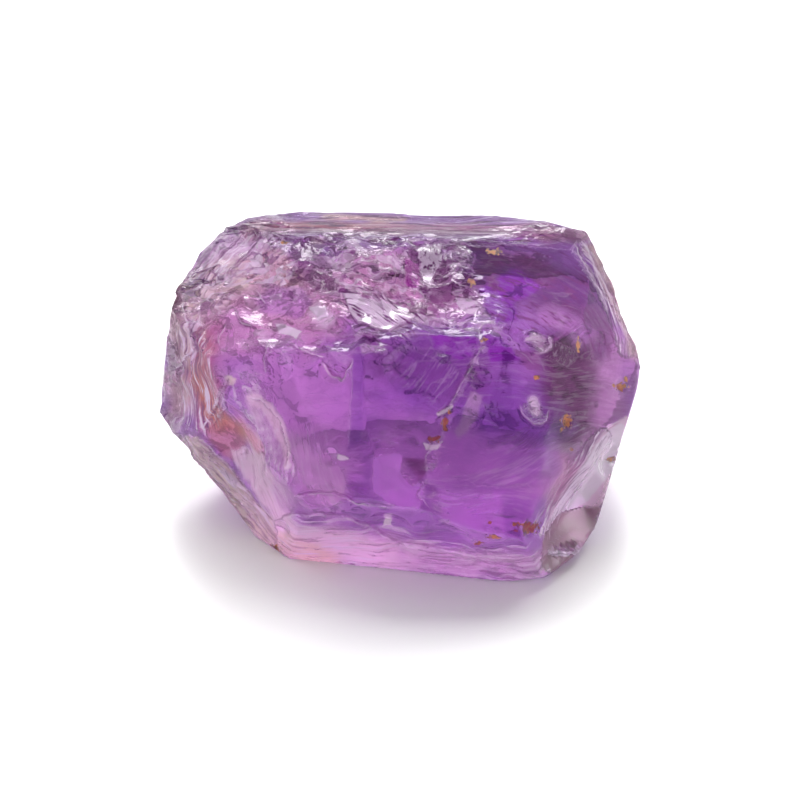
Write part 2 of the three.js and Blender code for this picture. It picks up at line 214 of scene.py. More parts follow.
# %% Scars in view
# Mark across and up, half width and depth.
FLAKE_SCARS = {
    "middle_flake": (0.9, -1.8, 6.6, 0.9),
    "scoop": (-17.2, -4.6, 5.6, 2.1),
    "scoop_tail": (-12.6, -9.3, 3.6, 0.7),
    "ribbed_shell": (-1.8, 8.3, 3.6, 1.1),
    "left_shell": (-8, 8.4, 2.2, 0.6),
    "round_shell": (-5.8, 13, 1.5, 0.5),
    "small_shell": (-2.3, 12.3, 1.3, 0.45),
    "winged_flake": (3, 12.7, 2.3, 0.8),
    "dark_notch": (1.3, 14, 1.3, 0.7),
    "bright_strip": (1, 11.2, 1.5, 0.6),
    "corner_hollow": (-14.5, 13, 2.8, 0.8),
    "corner_chip": (-11.6, 9.6, 2, 0.6),
    "pale_chip": (6.7, 8.8, 1.6, 0.6),
    "brow_left": (-15, 6, 1.5, 0.5),
    "brow_middle": (-10.8, 5, 2, 0.6),
    "crescent": (-6.5, 2.8, 1.7, 0.6),
    "brow_right": (0.4, 5.6, 1.7, 0.5),
    "brow_end": (4.6, 5, 1.9, 0.6),
    "brow_last": (11, 5.6, 1.6, 0.5),
    "white_nick": (13.9, 5.3, 1.1, 0.5),
    "shell_nick": (13.4, -1.3, 1.2, 0.4),
    "dark_patch": (1.2, -7.6, 2, 0.7),
    "bright_patch": (-1, -9.2, 2.8, 0.6),
    "lower_patch": (7, -11.8, 3.4, 0.5),
    "glint_chip": (-6.9, -6.1, 0.9, 0.3),
    "foot_flake_left": (-10, -11.2, 2.6, 0.5),
    "foot_flake_middle": (-4.6, -11.6, 2.4, 0.5),
    "foot_flake_right": (11, -17.6, 1.8, 0.5),
    "foot_chip": (15.6, -15.9, 1.9, 0.6),
    "lower_right_hollow": (17.4, -11.8, 5, 1.3),
    "right_notch": (21.2, -6.6, 1.8, 0.7),
    "end_chip_high": (-21.6, 8.8, 2.6, 0.6),
    "end_chip": (-22.9, 5.2, 2, 0.6),
    "end_chip_low": (-22.8, 0.4, 2.4, 0.6),
    "end_blade": (-19.4, -0.6, 3, 0.6),
    "rust_pit_large": (12.8, -13.2, 0.9, 0.45),
    "rust_pit_yellow": (16.8, -2.6, 0.7, 0.4),
    "rust_pit_edge": (22.2, 0.9, 0.7, 0.35),
    "rust_pit_vein": (4.5, -3, 0.8, 0.4),
    "rust_pit_low": (3.7, -4.5, 0.8, 0.4),
}
print(len(FLAKE_SCARS), "scars in view")

# %% Balls that cut the scars
# Degrees round and above the floor as seen from the heart, half width and depth.
HIDDEN_SCARS = {
    "back_wide": (100, 5, 9, 1.6),
    "back_right_wide": (50, 8, 7.5, 1.4),
    "back_left_wide": (150, 10, 7, 1.5),
    "back_high": (75, 35, 5, 0.9),
    "back_low_wide": (80, -25, 6, 1.2),
    "under_left_wide": (188, -30, 6, 1),
    "right_side": (28, -14, 4, 0.7),
}
GRAZING = 1e-6  # a ray whose cosine to a face is smaller runs along the face


def entry(across, up):
    """Where a sight line enters the flat-faced stone: the furthest of the faces it comes through."""
    line = sight_line(across, up)
    start = EYE - HEART
    along = FLAT_NORMALS @ line
    t = (FLAT_DISTANCES - FLAT_NORMALS @ start) / along
    k = np.argmax(np.where(along < 0, t, -np.inf))
    return FLAT_NORMALS[k], start + line * t[k]


def exit_point(direction):
    """Where a ray from the heart leaves the flat-faced stone: the nearest face it goes through."""
    along = FLAT_NORMALS @ direction
    t = np.where(along > GRAZING, FLAT_DISTANCES / np.maximum(along, GRAZING), np.inf)
    k = np.argmin(t)
    return FLAT_NORMALS[k], direction * t[k]


def scar_ball(normal, point, half_width, depth):
    """The ball of a hollow: radius (w² + d²) / 2d, its lowest point sunk by the depth."""
    radius = (half_width**2 + depth**2) / (2 * depth)
    return point + normal * (radius - depth), radius


balls = [scar_ball(*entry(a, u), w, d) for a, u, w, d in FLAKE_SCARS.values()]
balls += [scar_ball(*exit_point(heading(r, b)), w, d) for r, b, w, d in HIDDEN_SCARS.values()]
print(len(balls), "flake scars, the hidden ones among them")

# %% [markdown]
# ## A ball of even triangles
# The stone is star-shaped: every point of it can be seen from its heart. So its surface is one
# length per direction, and the directions can come from an icosahedron whose sides are divided
# evenly. Leaning them towards the eye spends more triangles where the stone is looked at.

# %% Directions
DIVISIONS = 97
FRONT_CROWDING = 0.3


def divided_ball(divisions):
    """Corners and triangles of an icosahedron with each side divided, pushed out to a sphere."""
    gold = (1 + math.sqrt(5)) / 2
    tips = unit([
        (-1, gold, 0), (1, gold, 0), (-1, -gold, 0), (1, -gold, 0),
        (0, -1, gold), (0, 1, gold), (0, -1, -gold), (0, 1, -gold),
        (gold, 0, -1), (gold, 0, 1), (-gold, 0, -1), (-gold, 0, 1),
    ])
    sides = np.array([
        (0, 11, 5), (0, 5, 1), (0, 1, 7), (0, 7, 10), (0, 10, 11),
        (1, 5, 9), (5, 11, 4), (11, 10, 2), (10, 7, 6), (7, 1, 8),
        (3, 9, 4), (3, 4, 2), (3, 2, 6), (3, 6, 8), (3, 8, 9),
        (4, 9, 5), (2, 4, 11), (6, 2, 10), (8, 6, 7), (9, 8, 1),
    ])
    n = divisions
    i, j = (grid.ravel() for grid in np.meshgrid(np.arange(n + 1), np.arange(n + 1), indexing="ij"))
    inside = i + j <= n
    i, j = i[inside], j[inside]
    number = np.full((n + 2, n + 2), -1)
    number[i, j] = np.arange(len(i))
    shares = np.stack([n - i - j, i, j], axis=1) / n
    points = np.einsum("pk,skc->spc", shares, tips[sides]).reshape(-1, 3)
    up = i + j < n
    upright = np.stack([number[i, j], number[i + 1, j], number[i, j + 1]], axis=1)[up]
    down = i + j < n - 1
    turned = np.stack([number[i + 1, j], number[i + 1, j + 1], number[i, j + 1]], axis=1)[down]
    faces = np.concatenate([upright, turned])
    faces = (faces[None] + np.arange(20)[:, None, None] * len(i)).reshape(-1, 3)
    _, first, shared = np.unique(np.round(points, 6), axis=0, return_index=True, return_inverse=True)
    return unit(points[first]), shared.ravel()[faces]


ball_points, triangles = divided_ball(DIVISIONS)
directions = unit(ball_points + FRONT_CROWDING * TO_EYE)
print(len(directions), "directions,", len(triangles), "triangles")

# %% [markdown]
# ## Numbers that only look random
# Nature scatters chips without a plan. A large sine's decimals do the same, and they give the
# same number for the same place each time, so the stone never changes between two runs. The salt
# is a number that tells one pattern from the next.

# %% Scattered numbers and smooth noise
def smooth(value, low, high):
    """0 below low, 1 above high, and 3t² - 2t³ between."""
    t = np.clip((value - low) / (high - low), 0, 1)
    return t * t * (3 - 2 * t)


def scatter(cells, salt):
    """A fixed number from 0 to 1 for each cell: the decimals of a large sine."""
    wave = np.sin(cells @ np.array([127.1, 311.7, 74.7]) + salt * 53.3) * 43758.5453
    return wave - np.floor(wave)


def smooth_noise(places, salt):
    """Numbers from -1 to 1 that change smoothly: the scatter of the eight cells around, blended."""
    home = np.floor(places)
    t = smooth(places - home, 0, 1)
    total = np.zeros(len(places))
    for step in np.ndindex(2, 2, 2):
        share = np.where(step, t, 1 - t).prod(axis=1)
        total += share * scatter(home + step, salt)
    return total * 2 - 1


print("noise at the heart:", smooth_noise(HEART[None], 0).round(3))

# %% [markdown]
# ## Broken ground
# On the chipped stretches hundreds of small flakes have come away, some as wide as 4 mm. Each is
# one more ball sunk into the face, tipped its own way, so that it leaves a gentle slope on one
# side and a step on the other. The faces turned away from the eye are broken all over.

# %% Where the ground is broken
# Stretches from one mark to another on the sight plane, half width and strength.
BROKEN_GROUND = {
    "left_shoulder": [(-20.5, 11), (-15, 14.5), 4.2, 1],
    "rough_field_high": [(-14, 12.5), (4, 12.5), 3.4, 1],
    "rough_field_low": [(-14, 8), (8, 8.4), 2.6, 0.9],
    "brow": [(-16, 5.6), (8.5, 5.8), 1.6, 0.6],
    "left_edge": [(-22.6, 9), (-22.8, -2), 2.2, 0.8],
    "lower_left_bevel": [(-21, -5.5), (-13, -14.5), 1.4, 0.3],
    "vein_high": [(7.9, 3), (7, 1), 0.9, 0.4],
    "vein_middle": [(7, 1), (4.6, -2.6), 0.9, 0.4],
    "vein_low": [(4.4, -3), (2.8, -7), 0.8, 0.35],
    "vein_foot": [(2.6, -9), (4.6, -12.5), 0.6, 0.35],
    "foot_band": [(-11, -13.5), (13, -16), 2.2, 0.1],
    "foot_right_chips": [(9.5, -16.6), (12, -17.8), 0.8, 0.25],
    "corner_crinkle": [(14.5, -15.6), (18.2, -15.3), 0.5, 0.9],
    "lower_right_edge": [(20.5, -4), (14.5, -14.5), 1.8, 0.12],
    "white_nick": [(13.3, 5.7), (14.2, 5.2), 0.7, 1],
    "shell_nick": [(13.2, -1.2), (13.8, -1.6), 0.6, 0.8],
    "rust_ground": [(-19, -3), (-16.5, -5), 1.5, 0.35],
    "left_inner": [(-19, 7), (-15.5, 2), 2.2, 0.3],
    "top_right_edge": [(7.5, 15.8), (15.8, 16.8), 0.7, 0.3],
    "foot_crinkle": [(7, -15.5), (13.5, -17.4), 1.5, 0.35],
}
print(len(BROKEN_GROUND), "stretches of broken ground")

# %% Small flakes
FLAKES_PER_SQUARE_MM = 1.1
SMALLEST_FLAKE, LARGEST_FLAKE = 0.45, 2.2
FLAKE_TILT = 0.5
FLAKE_DEPTH_SHARE = 0.24
SEED = 11


def flake_width(count, chance):
    """Half widths, most of them small: the smallest plus the span times a random number cubed."""
    return SMALLEST_FLAKE + (LARGEST_FLAKE - SMALLEST_FLAKE) * chance.random(count) ** 3


def tipped(normal, chance):
    """A face's direction, tipped at random, mostly by less than 30 degrees."""
    return unit(normal + FLAKE_TILT * chance.uniform(-1, 1, 3))


flakes = []
for k, (start, end, half_width, strength) in enumerate(BROKEN_GROUND.values()):
    chance = np.random.default_rng([SEED, k])
    run = np.subtract(end, start)
    length = np.hypot(*run)
    count = int(FLAKES_PER_SQUARE_MM * 2 * half_width * length * strength)
    side = np.array([-run[1], run[0]]) / length
    marks = start + chance.random((count, 1)) * run
    marks += side * half_width * chance.uniform(-1, 1, (count, 1))
    for mark, width in zip(marks, flake_width(count, chance)):
        normal, point = entry(*mark)
        flakes.append(scar_ball(tipped(normal, chance), point, width, width * FLAKE_DEPTH_SHARE))
print(len(flakes), "small flakes in view")

# %% Flakes on the hidden faces
HIDDEN_FLAKES = 170
HIDDEN_RISE = (-35, 60)  # degrees above the floor
HIDDEN_SIZE, HIDDEN_DEPTH = 2, 0.8  # times those in view
TURNED_AWAY = -0.2  # cosine to the line of sight

chance = np.random.default_rng(SEED)
for turn, rise, width in zip(chance.uniform(0, 360, HIDDEN_FLAKES),
                             chance.uniform(*HIDDEN_RISE, HIDDEN_FLAKES),
                             flake_width(HIDDEN_FLAKES, chance) * HIDDEN_SIZE):
    normal, point = exit_point(heading(turn, rise))
    if normal @ TO_EYE < TURNED_AWAY:
        depth = width * FLAKE_DEPTH_SHARE * HIDDEN_DEPTH
        flakes.append(scar_ball(tipped(normal, chance), point, width, depth))
print(len(flakes), "small flakes")

# %% [markdown]
# ## How far the stone reaches
# Along a direction the stone ends at whichever face or hollow comes first. The plain minimum
# gives knife edges, so a soft minimum wears each edge round by about a twentieth of a millimetre.

# %% Lengths to faces and hollows
EDGE_SHARPNESS = 14.0  # per millimetre
FAR = 1e3


def flat_lengths(directions, normal, distance):
    """Length to a flat face: its distance divided by the cosine to its direction."""
    along = directions @ normal
    return np.where(along > GRAZING, distance / np.maximum(along, GRAZING), FAR)


def ball_lengths(directions, centre, radius):
    """Length to a hollow: the nearer root of |direction t - centre| = radius."""
    along = directions @ centre
    square = along**2 - (centre @ centre - radius**2)
    near = along - np.sqrt(np.maximum(square, 0))
    return np.where((along > 0) & (square > 0), near, FAR)


def soft_minimum(first, second, sharpness=EDGE_SHARPNESS):
    """The smaller of two lengths, rounded where they meet: -log(e^-ka + e^-kb) / k."""
    return -np.logaddexp(-sharpness * first, -sharpness * second) / sharpness


def shortest(directions, surfaces, lengths_to, reach, met, first_number):
    """Carries on a reach, soft and plain, over more surfaces, and says which surface is met."""
    soft, least = reach
    for number, surface in enumerate(surfaces, first_number):
        lengths = lengths_to(directions, *surface)
        met = np.where(lengths < least, number, met)
        least = np.minimum(least, lengths)
        soft = soft_minimum(soft, lengths)
    return (soft, least), met


print("an edge of two equal lengths is worn by", round(math.log(2) / EDGE_SHARPNESS, 3), "mm")

# %% The reach of each direction
WORN_EDGES = [("front", "front_right", 1.3), ("front_left", "left_under", 2.0)]

reach = (np.full(len(directions), FAR),) * 2
met = np.zeros(len(directions), int)
all_balls = balls + flakes
reach, met = shortest(directions, flats, flat_lengths, reach, met, 0)
reach, met = shortest(directions, all_balls, ball_lengths, reach, met, len(flats))
on_foot = met == 0
length = reach[0]
broad = dict(zip(BROAD_FACES, flats[1:]))
for first, second, sharpness in WORN_EDGES:
    sides = [flat_lengths(directions, *broad[name]) for name in (first, second)]
    length = soft_minimum(length, soft_minimum(*sides, sharpness))
length = np.where(on_foot, reach[1], length)
bare = HEART + directions * length[:, None]
print("reach from", round(length.min(), 1), "to", round(length.max(), 1), "mm")

# %% What the eye sees of it
RIM_OF_SIGHT = (-0.05, 0.1)  # cosines to the line of sight between which the ground turns away

ball_centres = np.array([centre for centre, _ in all_balls])
to_centre = unit(ball_centres[np.maximum(met - len(flats), 0)] - (bare - HEART))
outward = np.where((met < len(flats))[:, None], FLAT_NORMALS[np.minimum(met, len(flats) - 1)],
                   to_centre)
facing = outward @ TO_EYE
toward_eye = smooth(facing, *RIM_OF_SIGHT)
seen_across, seen_up = seen_at(bare)
print(round(100 * toward_eye.mean()), "percent of the corners face the eye")

# %% [markdown]
# ## Chips, grit and swells
# Between the flakes the ground is a jumble of ever smaller bowls. Space is cut into cells, each
# with a seed, and over each seed stands a bowl, tipped and lifted its own way. The lowest bowl at
# a place is the surface, so that bowls meet in sharp ridges, as flake scars do.

# %% Bowls and swells
CHIP_FLOW = unit(np.array([0.75, -0.35, -0.55]))  # the way the broken ground runs
FLOW_STRETCH = 0.45
BOWL_STEEPNESS, BOWL_TIP, BOWL_LIFT = 0.6, 2.2, 0.7
BOWL_SHIFT = 0.35  # how far noise shifts the cells, in cells
SHIFT_WAVES = 0.7  # waves of that noise to a cell
SWELL_SIZE = 7.0


def scatter_three(cells, salt):
    """Three fixed numbers from 0 to 1 for each cell."""
    return np.stack([scatter(cells, salt + k) for k in range(3)], axis=1)


def bowls(points, size, salt):
    """The lowest of the bowls over the 27 nearest seeds, 0.6 d² + tip·d + lift, and how far
    the second lowest is above it, which is nothing on the ridge between the two.

    Places are first squeezed along the flow, which makes long chips, and shifted by noise."""
    places = points / size
    places -= np.outer(places @ CHIP_FLOW, CHIP_FLOW) * FLOW_STRETCH
    shifts = [smooth_noise(places * SHIFT_WAVES, salt + k) for k in (40, 41, 42)]
    places += BOWL_SHIFT * np.stack(shifts, axis=1)
    home = np.floor(places)
    lowest = np.full(len(points), np.inf)
    second = lowest.copy()
    for step in np.ndindex(3, 3, 3):
        cell = home + np.array(step) - 1
        away = places - cell - scatter_three(cell, salt)
        tip = scatter_three(cell, salt + 3) * BOWL_TIP - BOWL_TIP / 2
        bowl = BOWL_STEEPNESS * (away**2).sum(axis=1) + (away * tip).sum(axis=1)
        bowl += BOWL_LIFT * scatter(cell, salt + 6) - BOWL_LIFT / 2
        second = np.minimum(second, np.maximum(lowest, bowl))
        lowest = np.minimum(lowest, bowl)
    return lowest, second - lowest


def swells(points):
    """Slow waves between -1 and 1: the mean of three sines across different slants."""
    x, y, z = (points / SWELL_SIZE).T
    return (np.sin(2.1 * x + 1.3 * y + 0.7) + np.sin(1.7 * y - 2.3 * z + 2.1)
            + np.sin(1.9 * z + 1.1 * x + 4.2)) / 3


print("swells at the heart:", swells(HEART[None]).round(3))

# %% How broken the ground is
BACK_CHIPPING, FRONT_CHIPPING = 0.5, 0.02
FULL_TO, GONE_AT = 0.6, 1.4  # in half widths of a stretch
LEAST_BROKEN = 0.3
WIDE_PATCH, SMALL_PATCH = 3.2, 1.5  # millimetres
SMALL_PATCH_WEIGHT = 0.5
PATCH_RANGE = (-0.5, 0.35)


def from_stretch(across, up, start, end):
    """Distance on the sight plane from the straight stretch between two marks."""
    run = np.subtract(end, start)
    share = ((across - start[0]) * run[0] + (up - start[1]) * run[1]) / (run @ run)
    held = np.clip(share, 0, 1)
    return np.hypot(across - start[0] - held * run[0], up - start[1] - held * run[1])


def ground(start, end, half_width):
    """1 inside a stretch of ground that faces the eye, fading to 0 past its half width."""
    away = from_stretch(seen_across, seen_up, start, end)
    return (1 - smooth(away, FULL_TO * half_width, GONE_AT * half_width)) * toward_eye


broken = np.full(len(bare), FRONT_CHIPPING)
for start, end, half_width, strength in BROKEN_GROUND.values():
    broken = np.maximum(broken, strength * ground(start, end, half_width))
broken = np.where(facing < 0, BACK_CHIPPING, broken)
patches = smooth_noise(bare / WIDE_PATCH, 81)
patches = patches + SMALL_PATCH_WEIGHT * smooth_noise(bare / SMALL_PATCH, 82)
broken *= LEAST_BROKEN + (1 - LEAST_BROKEN) * smooth(patches, *PATCH_RANGE)
print("broken ground:", round(100 * (broken > 0.2).mean()), "percent of the corners")

# %% Chips of three sizes
CHIP_SIZES = {3.4: 0.3, 1.5: 0.34, 0.75: 0.3}  # width in millimetres: height in widths
RIDGE_WIDTH = 0.14

rough, ridge_lines = np.zeros((2, len(bare)))
for k, (size, height) in enumerate(CHIP_SIZES.items()):
    lowest, gap = bowls(bare, size, 9 * k + 1)
    rough += lowest * size * height
    ridge_lines = np.maximum(ridge_lines, 1 - smooth(gap * size, 0, RIDGE_WIDTH))
rough -= rough.mean()
print("chips from", round(rough.min(), 2), "to", round(rough.max(), 2), "mm")

# %% [markdown]
# ## Split lines
# Where a fracture ran fast it left fine lines: along the top, down the right side, over the left
# corner, and as rings around the place where a flake was struck off. Each set of lines has a
# coordinate that counts millimetres across the lines, and a strength that fades at its border.

# %% Sets of lines
# Straight sets: the stretch of ground, half width, the lines' own run between two marks,
# millimetres between lines, their height, and how strong their light and dark lines are.
LINED_GROUND = {
    "top_lines": [(-15, 17.2), (17.5, 16.3), 1.7, (-15, 16.9), (18, 16.3), 0.95, 0.08, 0.4, 2.6],
    "corner_lines": [(-21, 12.5), (-14, 16), 2.6, (-20.8, 12.3), (-15.1, 17.2), 0.75, 0.14, 1.2, 1.4],
    "right_lines": [(18.2, 15), (22.6, 5), 1.1, (17.7, 15.5), (22.4, 4.6), 0.6, 0.05, 1.1, 0.8],
    "foot_lines": [(-11, -14), (12, -17), 2.2, (-12, -14.5), (12, -17), 0.8, 0.04, 0.9, 0.8],
    "bevel_lines": [(-21, -5), (-13, -14), 1.3, (-21.4, -4), (-12.8, -13.6), 0.7, 0.08, 1.1, 0.8],
    "streak_lines": [(20.4, -4), (14.4, -13), 1.1, (20.7, -3), (14.3, -12.5), 0.5, 0.06, 1.4, 1.0],
    "shell_ribs": [(-5, 9.8), (0.6, 7.4), 1.6, (-5.5, 10.3), (1.2, 6.8), 0.65, 0.12, 0.8, 3],
    "pink_fibres": [(-15.5, -6), (-12.5, -11), 1.6, (-16, -5), (-12, -11.5), 0.5, 0.03, 0.5, 0.4],
    "low_left_fibres": [(-9, -5), (-8, -10), 2.4, (-9.5, -4), (-7.5, -11), 0.7, 0.02, 0.2, 0.2],
    "low_lines": [(3, -9.8), (12, -10), 1.6, (3, -9.7), (12, -9.9), 0.5, 0.01, 0.25, 0.2],
    "right_scratches": [(9, 3), (20, -1), 4, (8, 1.8), (21, 1.2), 0.6, 0.006, 0.1, 0.2],
    "veil_waves": [(9, -9), (18.5, -2.5), 2.4, (9.1, -8), (17, -4.2), 0.7, 0.02, 0.24, 0.1],
    "left_end_lines": [(-21, 6), (-20, -2), 1.8, (-21, 8), (-20, -3), 0.6, 0.05, 1.5, 1.4],
}
# Rings: the stretch of ground, half width, the mark the rings run round, millimetres between
# rings, their height, and how strong their light and dark lines are.
RINGED_GROUND = {
    "upper_rings": [(10, 11.5), (19.5, 8), 4.6, (6.4, -1.7), 0.75, 0.05, 0.05, 1.6],
    "wing_rings": [(3.4, 14), (2.4, 11.4), 1.3, (3.4, 15.6), 0.55, 0.06, 0.6, 3],
    "scoop_rings": [(-15, 0.5), (-11.6, -7), 1.7, (-19, -4), 0.7, 0.08, 0.7, 0.3],
    "nick_rings": [(12.9, -1), (13.9, -2.2), 0.9, (13.7, -0.6), 0.2, 0.04, 0.9, 0.9],
    "white_nick_rings": [(13.2, 5.6), (16.5, 3.8), 1.3, (13.6, 5.8), 0.3, 0.02, 0.25, 0.3],
    "brow_hatch": [(1, 3), (6, 0.5), 2.2, (-14, 12), 0.5, 0.02, 0.15, 0.3],
}
print(len(LINED_GROUND), "straight sets of lines,", len(RINGED_GROUND), "sets of rings")

# %% Where each line runs
LINE_LENGTH = 9  # a line stays whole for so many spacings
RING_PIECES = 4  # pieces to a radian of a ring
LINE_WANDER, RING_WANDER = (5, 0.6), (4, 0.5)  # length and height of a wander in millimetres


def on_surface(mark):
    """The point of the flat-faced stone under a mark, in the frame's own millimetres."""
    return entry(*mark)[1] + HEART


def wandering(points, size, height):
    """A slow sideways wander, so that no line is ruler straight."""
    return smooth_noise(points / size, 31) * height


line_sets = []
for start, end, half_width, run_from, run_to, spacing, *looks in LINED_GROUND.values():
    along = unit(on_surface(run_to) - on_surface(run_from))
    normal = entry(*np.mean([start, end], axis=0))[0]
    across_lines = unit(np.cross(along, normal))
    line_sets.append(((bare @ across_lines + wandering(bare, *LINE_WANDER)) / spacing,
                      bare @ along / (LINE_LENGTH * spacing),
                      ground(start, end, half_width), *looks))
for start, end, half_width, centre, spacing, *looks in RINGED_GROUND.values():
    away = np.linalg.norm(bare - on_surface(centre), axis=1)
    turn = np.arctan2(seen_up - centre[1], seen_across - centre[0])
    line_sets.append(((away + wandering(bare, *RING_WANDER)) / spacing, turn * RING_PIECES,
                      ground(start, end, half_width), *looks))
print(len(line_sets), "sets of lines")

# %% Lines as relief and as numbers for the material
LINE_RELIEF = 0.6
SET_APART = (1, 1, 7.3)  # keeps each set's pattern its own

lines_relief, lines_strength, lines_light, lines_dark = np.zeros((4, len(bare)))
lines_place = np.zeros((len(bare), 3))
for k, (across_lines, along_lines, strength, height, light, dark) in enumerate(line_sets):
    places = np.stack([across_lines, along_lines, np.full(len(bare), k)], axis=1)
    lines_relief += smooth_noise(places, 61 + k) * strength * height * LINE_RELIEF
    stronger = strength > lines_strength
    lines_place[stronger] = (places * SET_APART)[stronger]
    lines_light[stronger] = (strength * light)[stronger]
    lines_dark[stronger] = (strength * dark)[stronger]
    lines_strength = np.maximum(lines_strength, strength)
print("lines from", round(lines_relief.min(), 2), "to", round(lines_relief.max(), 2), "mm")

# %% [markdown]
# ## Ledges
# What the eye follows on broken quartz are its ledges, where one flake stops above the next; their
# bright edges are a painted highlight, with painted shade below. Each is a row of marks with a step
# down on its right-hand side. Past the step the ground climbs slowly back, so the ledge stays a
# local thing.

# %% Ledges
# Row of marks, step in millimetres, millimetres over which the ground climbs back, and the brightness
# of the painted highlight on its crest and the painted shade below it.
LEDGES = {
    "top_brow": ([(-15.4, 17), (-12, 15.9), (-9, 15.7), (-5, 15.9), (-1, 15.6), (4.3, 15.3),
                  (8.4, 14.9), (10.7, 15.2), (14.6, 15), (17.2, 15.5)], 0.03, 1.2, 0.45),
    "right_brow": ([(23.3, 4.8), (21.8, 7.5), (20.2, 10.2), (18.8, 12.3), (17.8, 14.2),
                    (17.2, 15.5)], 0.14, 1.0, 1.0),
    "right_second": ([(23.4, 5.3), (22, 8.2), (20.6, 10.8), (19.4, 13), (18.6, 14.8), (18.3, 15.6)],
                     0.08, 0.6, 0.8),
    "left_ridge": ([(-23.6, 2.1), (-21.5, 4.2), (-20.9, 5), (-21.4, 6.6), (-21.8, 8.8),
                    (-20.8, 10)], 0.3, 1.3, 0.9),
    "hook": ([(-16.4, 9), (-15.8, 7.2), (-14.5, 6.8)], 0.18, 0.7, 0.7),
    "thin_line": ([(-14.5, 10.6), (-13.3, 9)], 0.12, 0.6, 0.8),
    "short_line": ([(-18.7, 6), (-19.8, 4.5)], 0.15, 0.6, 0.7),
    "shell_left": ([(-5.8, 10.5), (-5, 8.5), (-4.2, 7.4), (-1.1, 6.6), (0, 7.4), (1.6, 8.1)],
                   0.3, 1.1, 0.8),
    "brow_left": ([(-10, 6.8), (-7.6, 6.8), (-5.8, 6), (0, 6.5), (4.4, 6.1)], 0.14, 1.1, 0.3),
    "brow_second": ([(-11.2, 5.4), (-9, 4.2), (-7.3, 3.8)], 0.15, 0.8, 0.7),
    "crescent": ([(-4.7, 3.8), (-5.8, 1.5), (-7, 2.1), (-7.9, 3.5)], 0.2, 0.8, 0.9),
    "upright_step": ([(-4.8, 4), (-4.8, -0.5), (-5.1, -2.1), (-5.1, -4.2), (-5.3, -5.2)],
                     0.16, 2.2, 0.1),
    "vein": ([(7.8, 6), (8, 4.6), (7.2, 3), (6.7, 2), (5.6, 0), (4.3, -2), (4.2, -4),
              (2.6, -6), (2.8, -8.2), (1.9, -10), (3, -11.4), (3.5, -13)], 0.2, 2.0, 0.35),
    "blade": ([(5.4, -1), (3.8, -2)], 0.15, 0.5, 1.0),
    "wedge": ([(13.5, 3), (10.7, 6), (9, 6.9)], 0.08, 2.0, 0.2),
    "bevel_edge": ([(-20.3, -4.1), (-18.6, -5.8), (-16.7, -7.6), (-14.5, -10.5), (-12.6, -12.6)],
                   0.25, 1.0, 0.8),
    "bevel_second": ([(-20.8, -5.4), (-18, -8.6), (-15.2, -11.6), (-13.4, -13.8)], 0.15, 0.7, 0.7),
    "scoop_rim": ([(-15.3, 0), (-13.6, -0.6), (-12, -2.3), (-11.2, -5.1), (-11.2, -7.3)],
                  0.25, 1.2, 0.8),
    "scoop_inner": ([(-16.1, -1.2), (-14.5, -3), (-13.6, -5), (-13.4, -7.5)], 0.2, 0.8, 0.5),
    "left_blade": ([(-20.1, -3.7), (-17.6, 1), (-17.2, 2)], 0.3, 1.0, 0.9),
    "left_blade_small": ([(-19, -3), (-17.6, -1.3), (-17.8, 0.6)], 0.15, 0.6, 0.7),
    "foot_ledge": ([(5.2, -15.8), (0, -15.2), (-3, -13.4), (-5.4, -12.3), (-7.3, -12),
                    (-10.4, -12), (-12.6, -12.7)], 0.2, 1.6, 0.5),
    "foot_ledge_high": ([(0, -11.2), (-4.2, -10.9), (-6.5, -9.8), (-8.9, -9.8), (-11.2, -10.2)],
                        0.15, 1.2, 0.5),
    "streak_left": ([(14.3, -13.4), (15.4, -11), (18.6, -6.7), (20.9, -3.1), (22.6, -2.3)],
                    0.12, 1.2, 0.6),
    "streak_right": ([(14.3, -14), (16.2, -11.8), (19.3, -10.9)], 0.3, 1.6, 0.8),
    "nick_rim": ([(12, -0.8), (12.4, -2), (13.6, -2.9), (14.7, -2.6), (14.9, -1.3)], 0.1, 0.5, 0.6),
    "white_nick_rim": ([(14.9, 6), (15.2, 5.2), (14.6, 4.4), (13.4, 4.3)], 0.12, 0.5, 1.0),
    "scoop_second": ([(-16.4, -0.6), (-14.9, -2), (-13.9, -4), (-13.5, -6.4)], 0.1, 0.6, 0.5),
    "left_curl": ([(-13.2, 5.2), (-13.6, 3.6), (-13.3, 2.2)], 0.1, 0.5, 0.8),
    "left_curl_second": ([(-17.2, 7.2), (-18, 5.6), (-17.6, 4)], 0.1, 0.6, 0.6),
    "left_fan": ([(-20.4, 7.4), (-19.6, 9.2), (-17.8, 10.4)], 0.14, 0.8, 0.6),
    "foot_rim": ([(-6.5, -16.5), (-3, -17.1), (0, -17.6), (4, -18)], 0.05, 0.5, 0.9),
    "corner_foot": ([(14.5, -15.6), (15.4, -15.7), (17.5, -15.7), (18.5, -15)], 0.15, 0.8, 0.9),
    "foot_right": ([(7.1, -14.6), (6.2, -15.9), (5.2, -15.7), (-0.5, -15.3)], 0.12, 1.0, 0.4),
}
print(len(LEDGES), "ledges")

# %% Steps down from the ledges, and the painted highlights on their crests
LEDGE_BREAK = 0.12
# Width in millimetres of the painted highlight on a ledge's crest, and the share of it at full
# strength.
LEDGE_LIGHT, LIGHT_CORE = 0.16, 0.3
LEDGE_CREST = 0.05
LEDGE_FLICKER = 0.35
LEDGE_WANDER, WANDER_SIZE = 0.14, 0.6
LEDGE_ENDS = 0.12  # share of its length over which a ledge fades at each end
NOWHERE_NEAR = 9.0  # further than any mark reaches


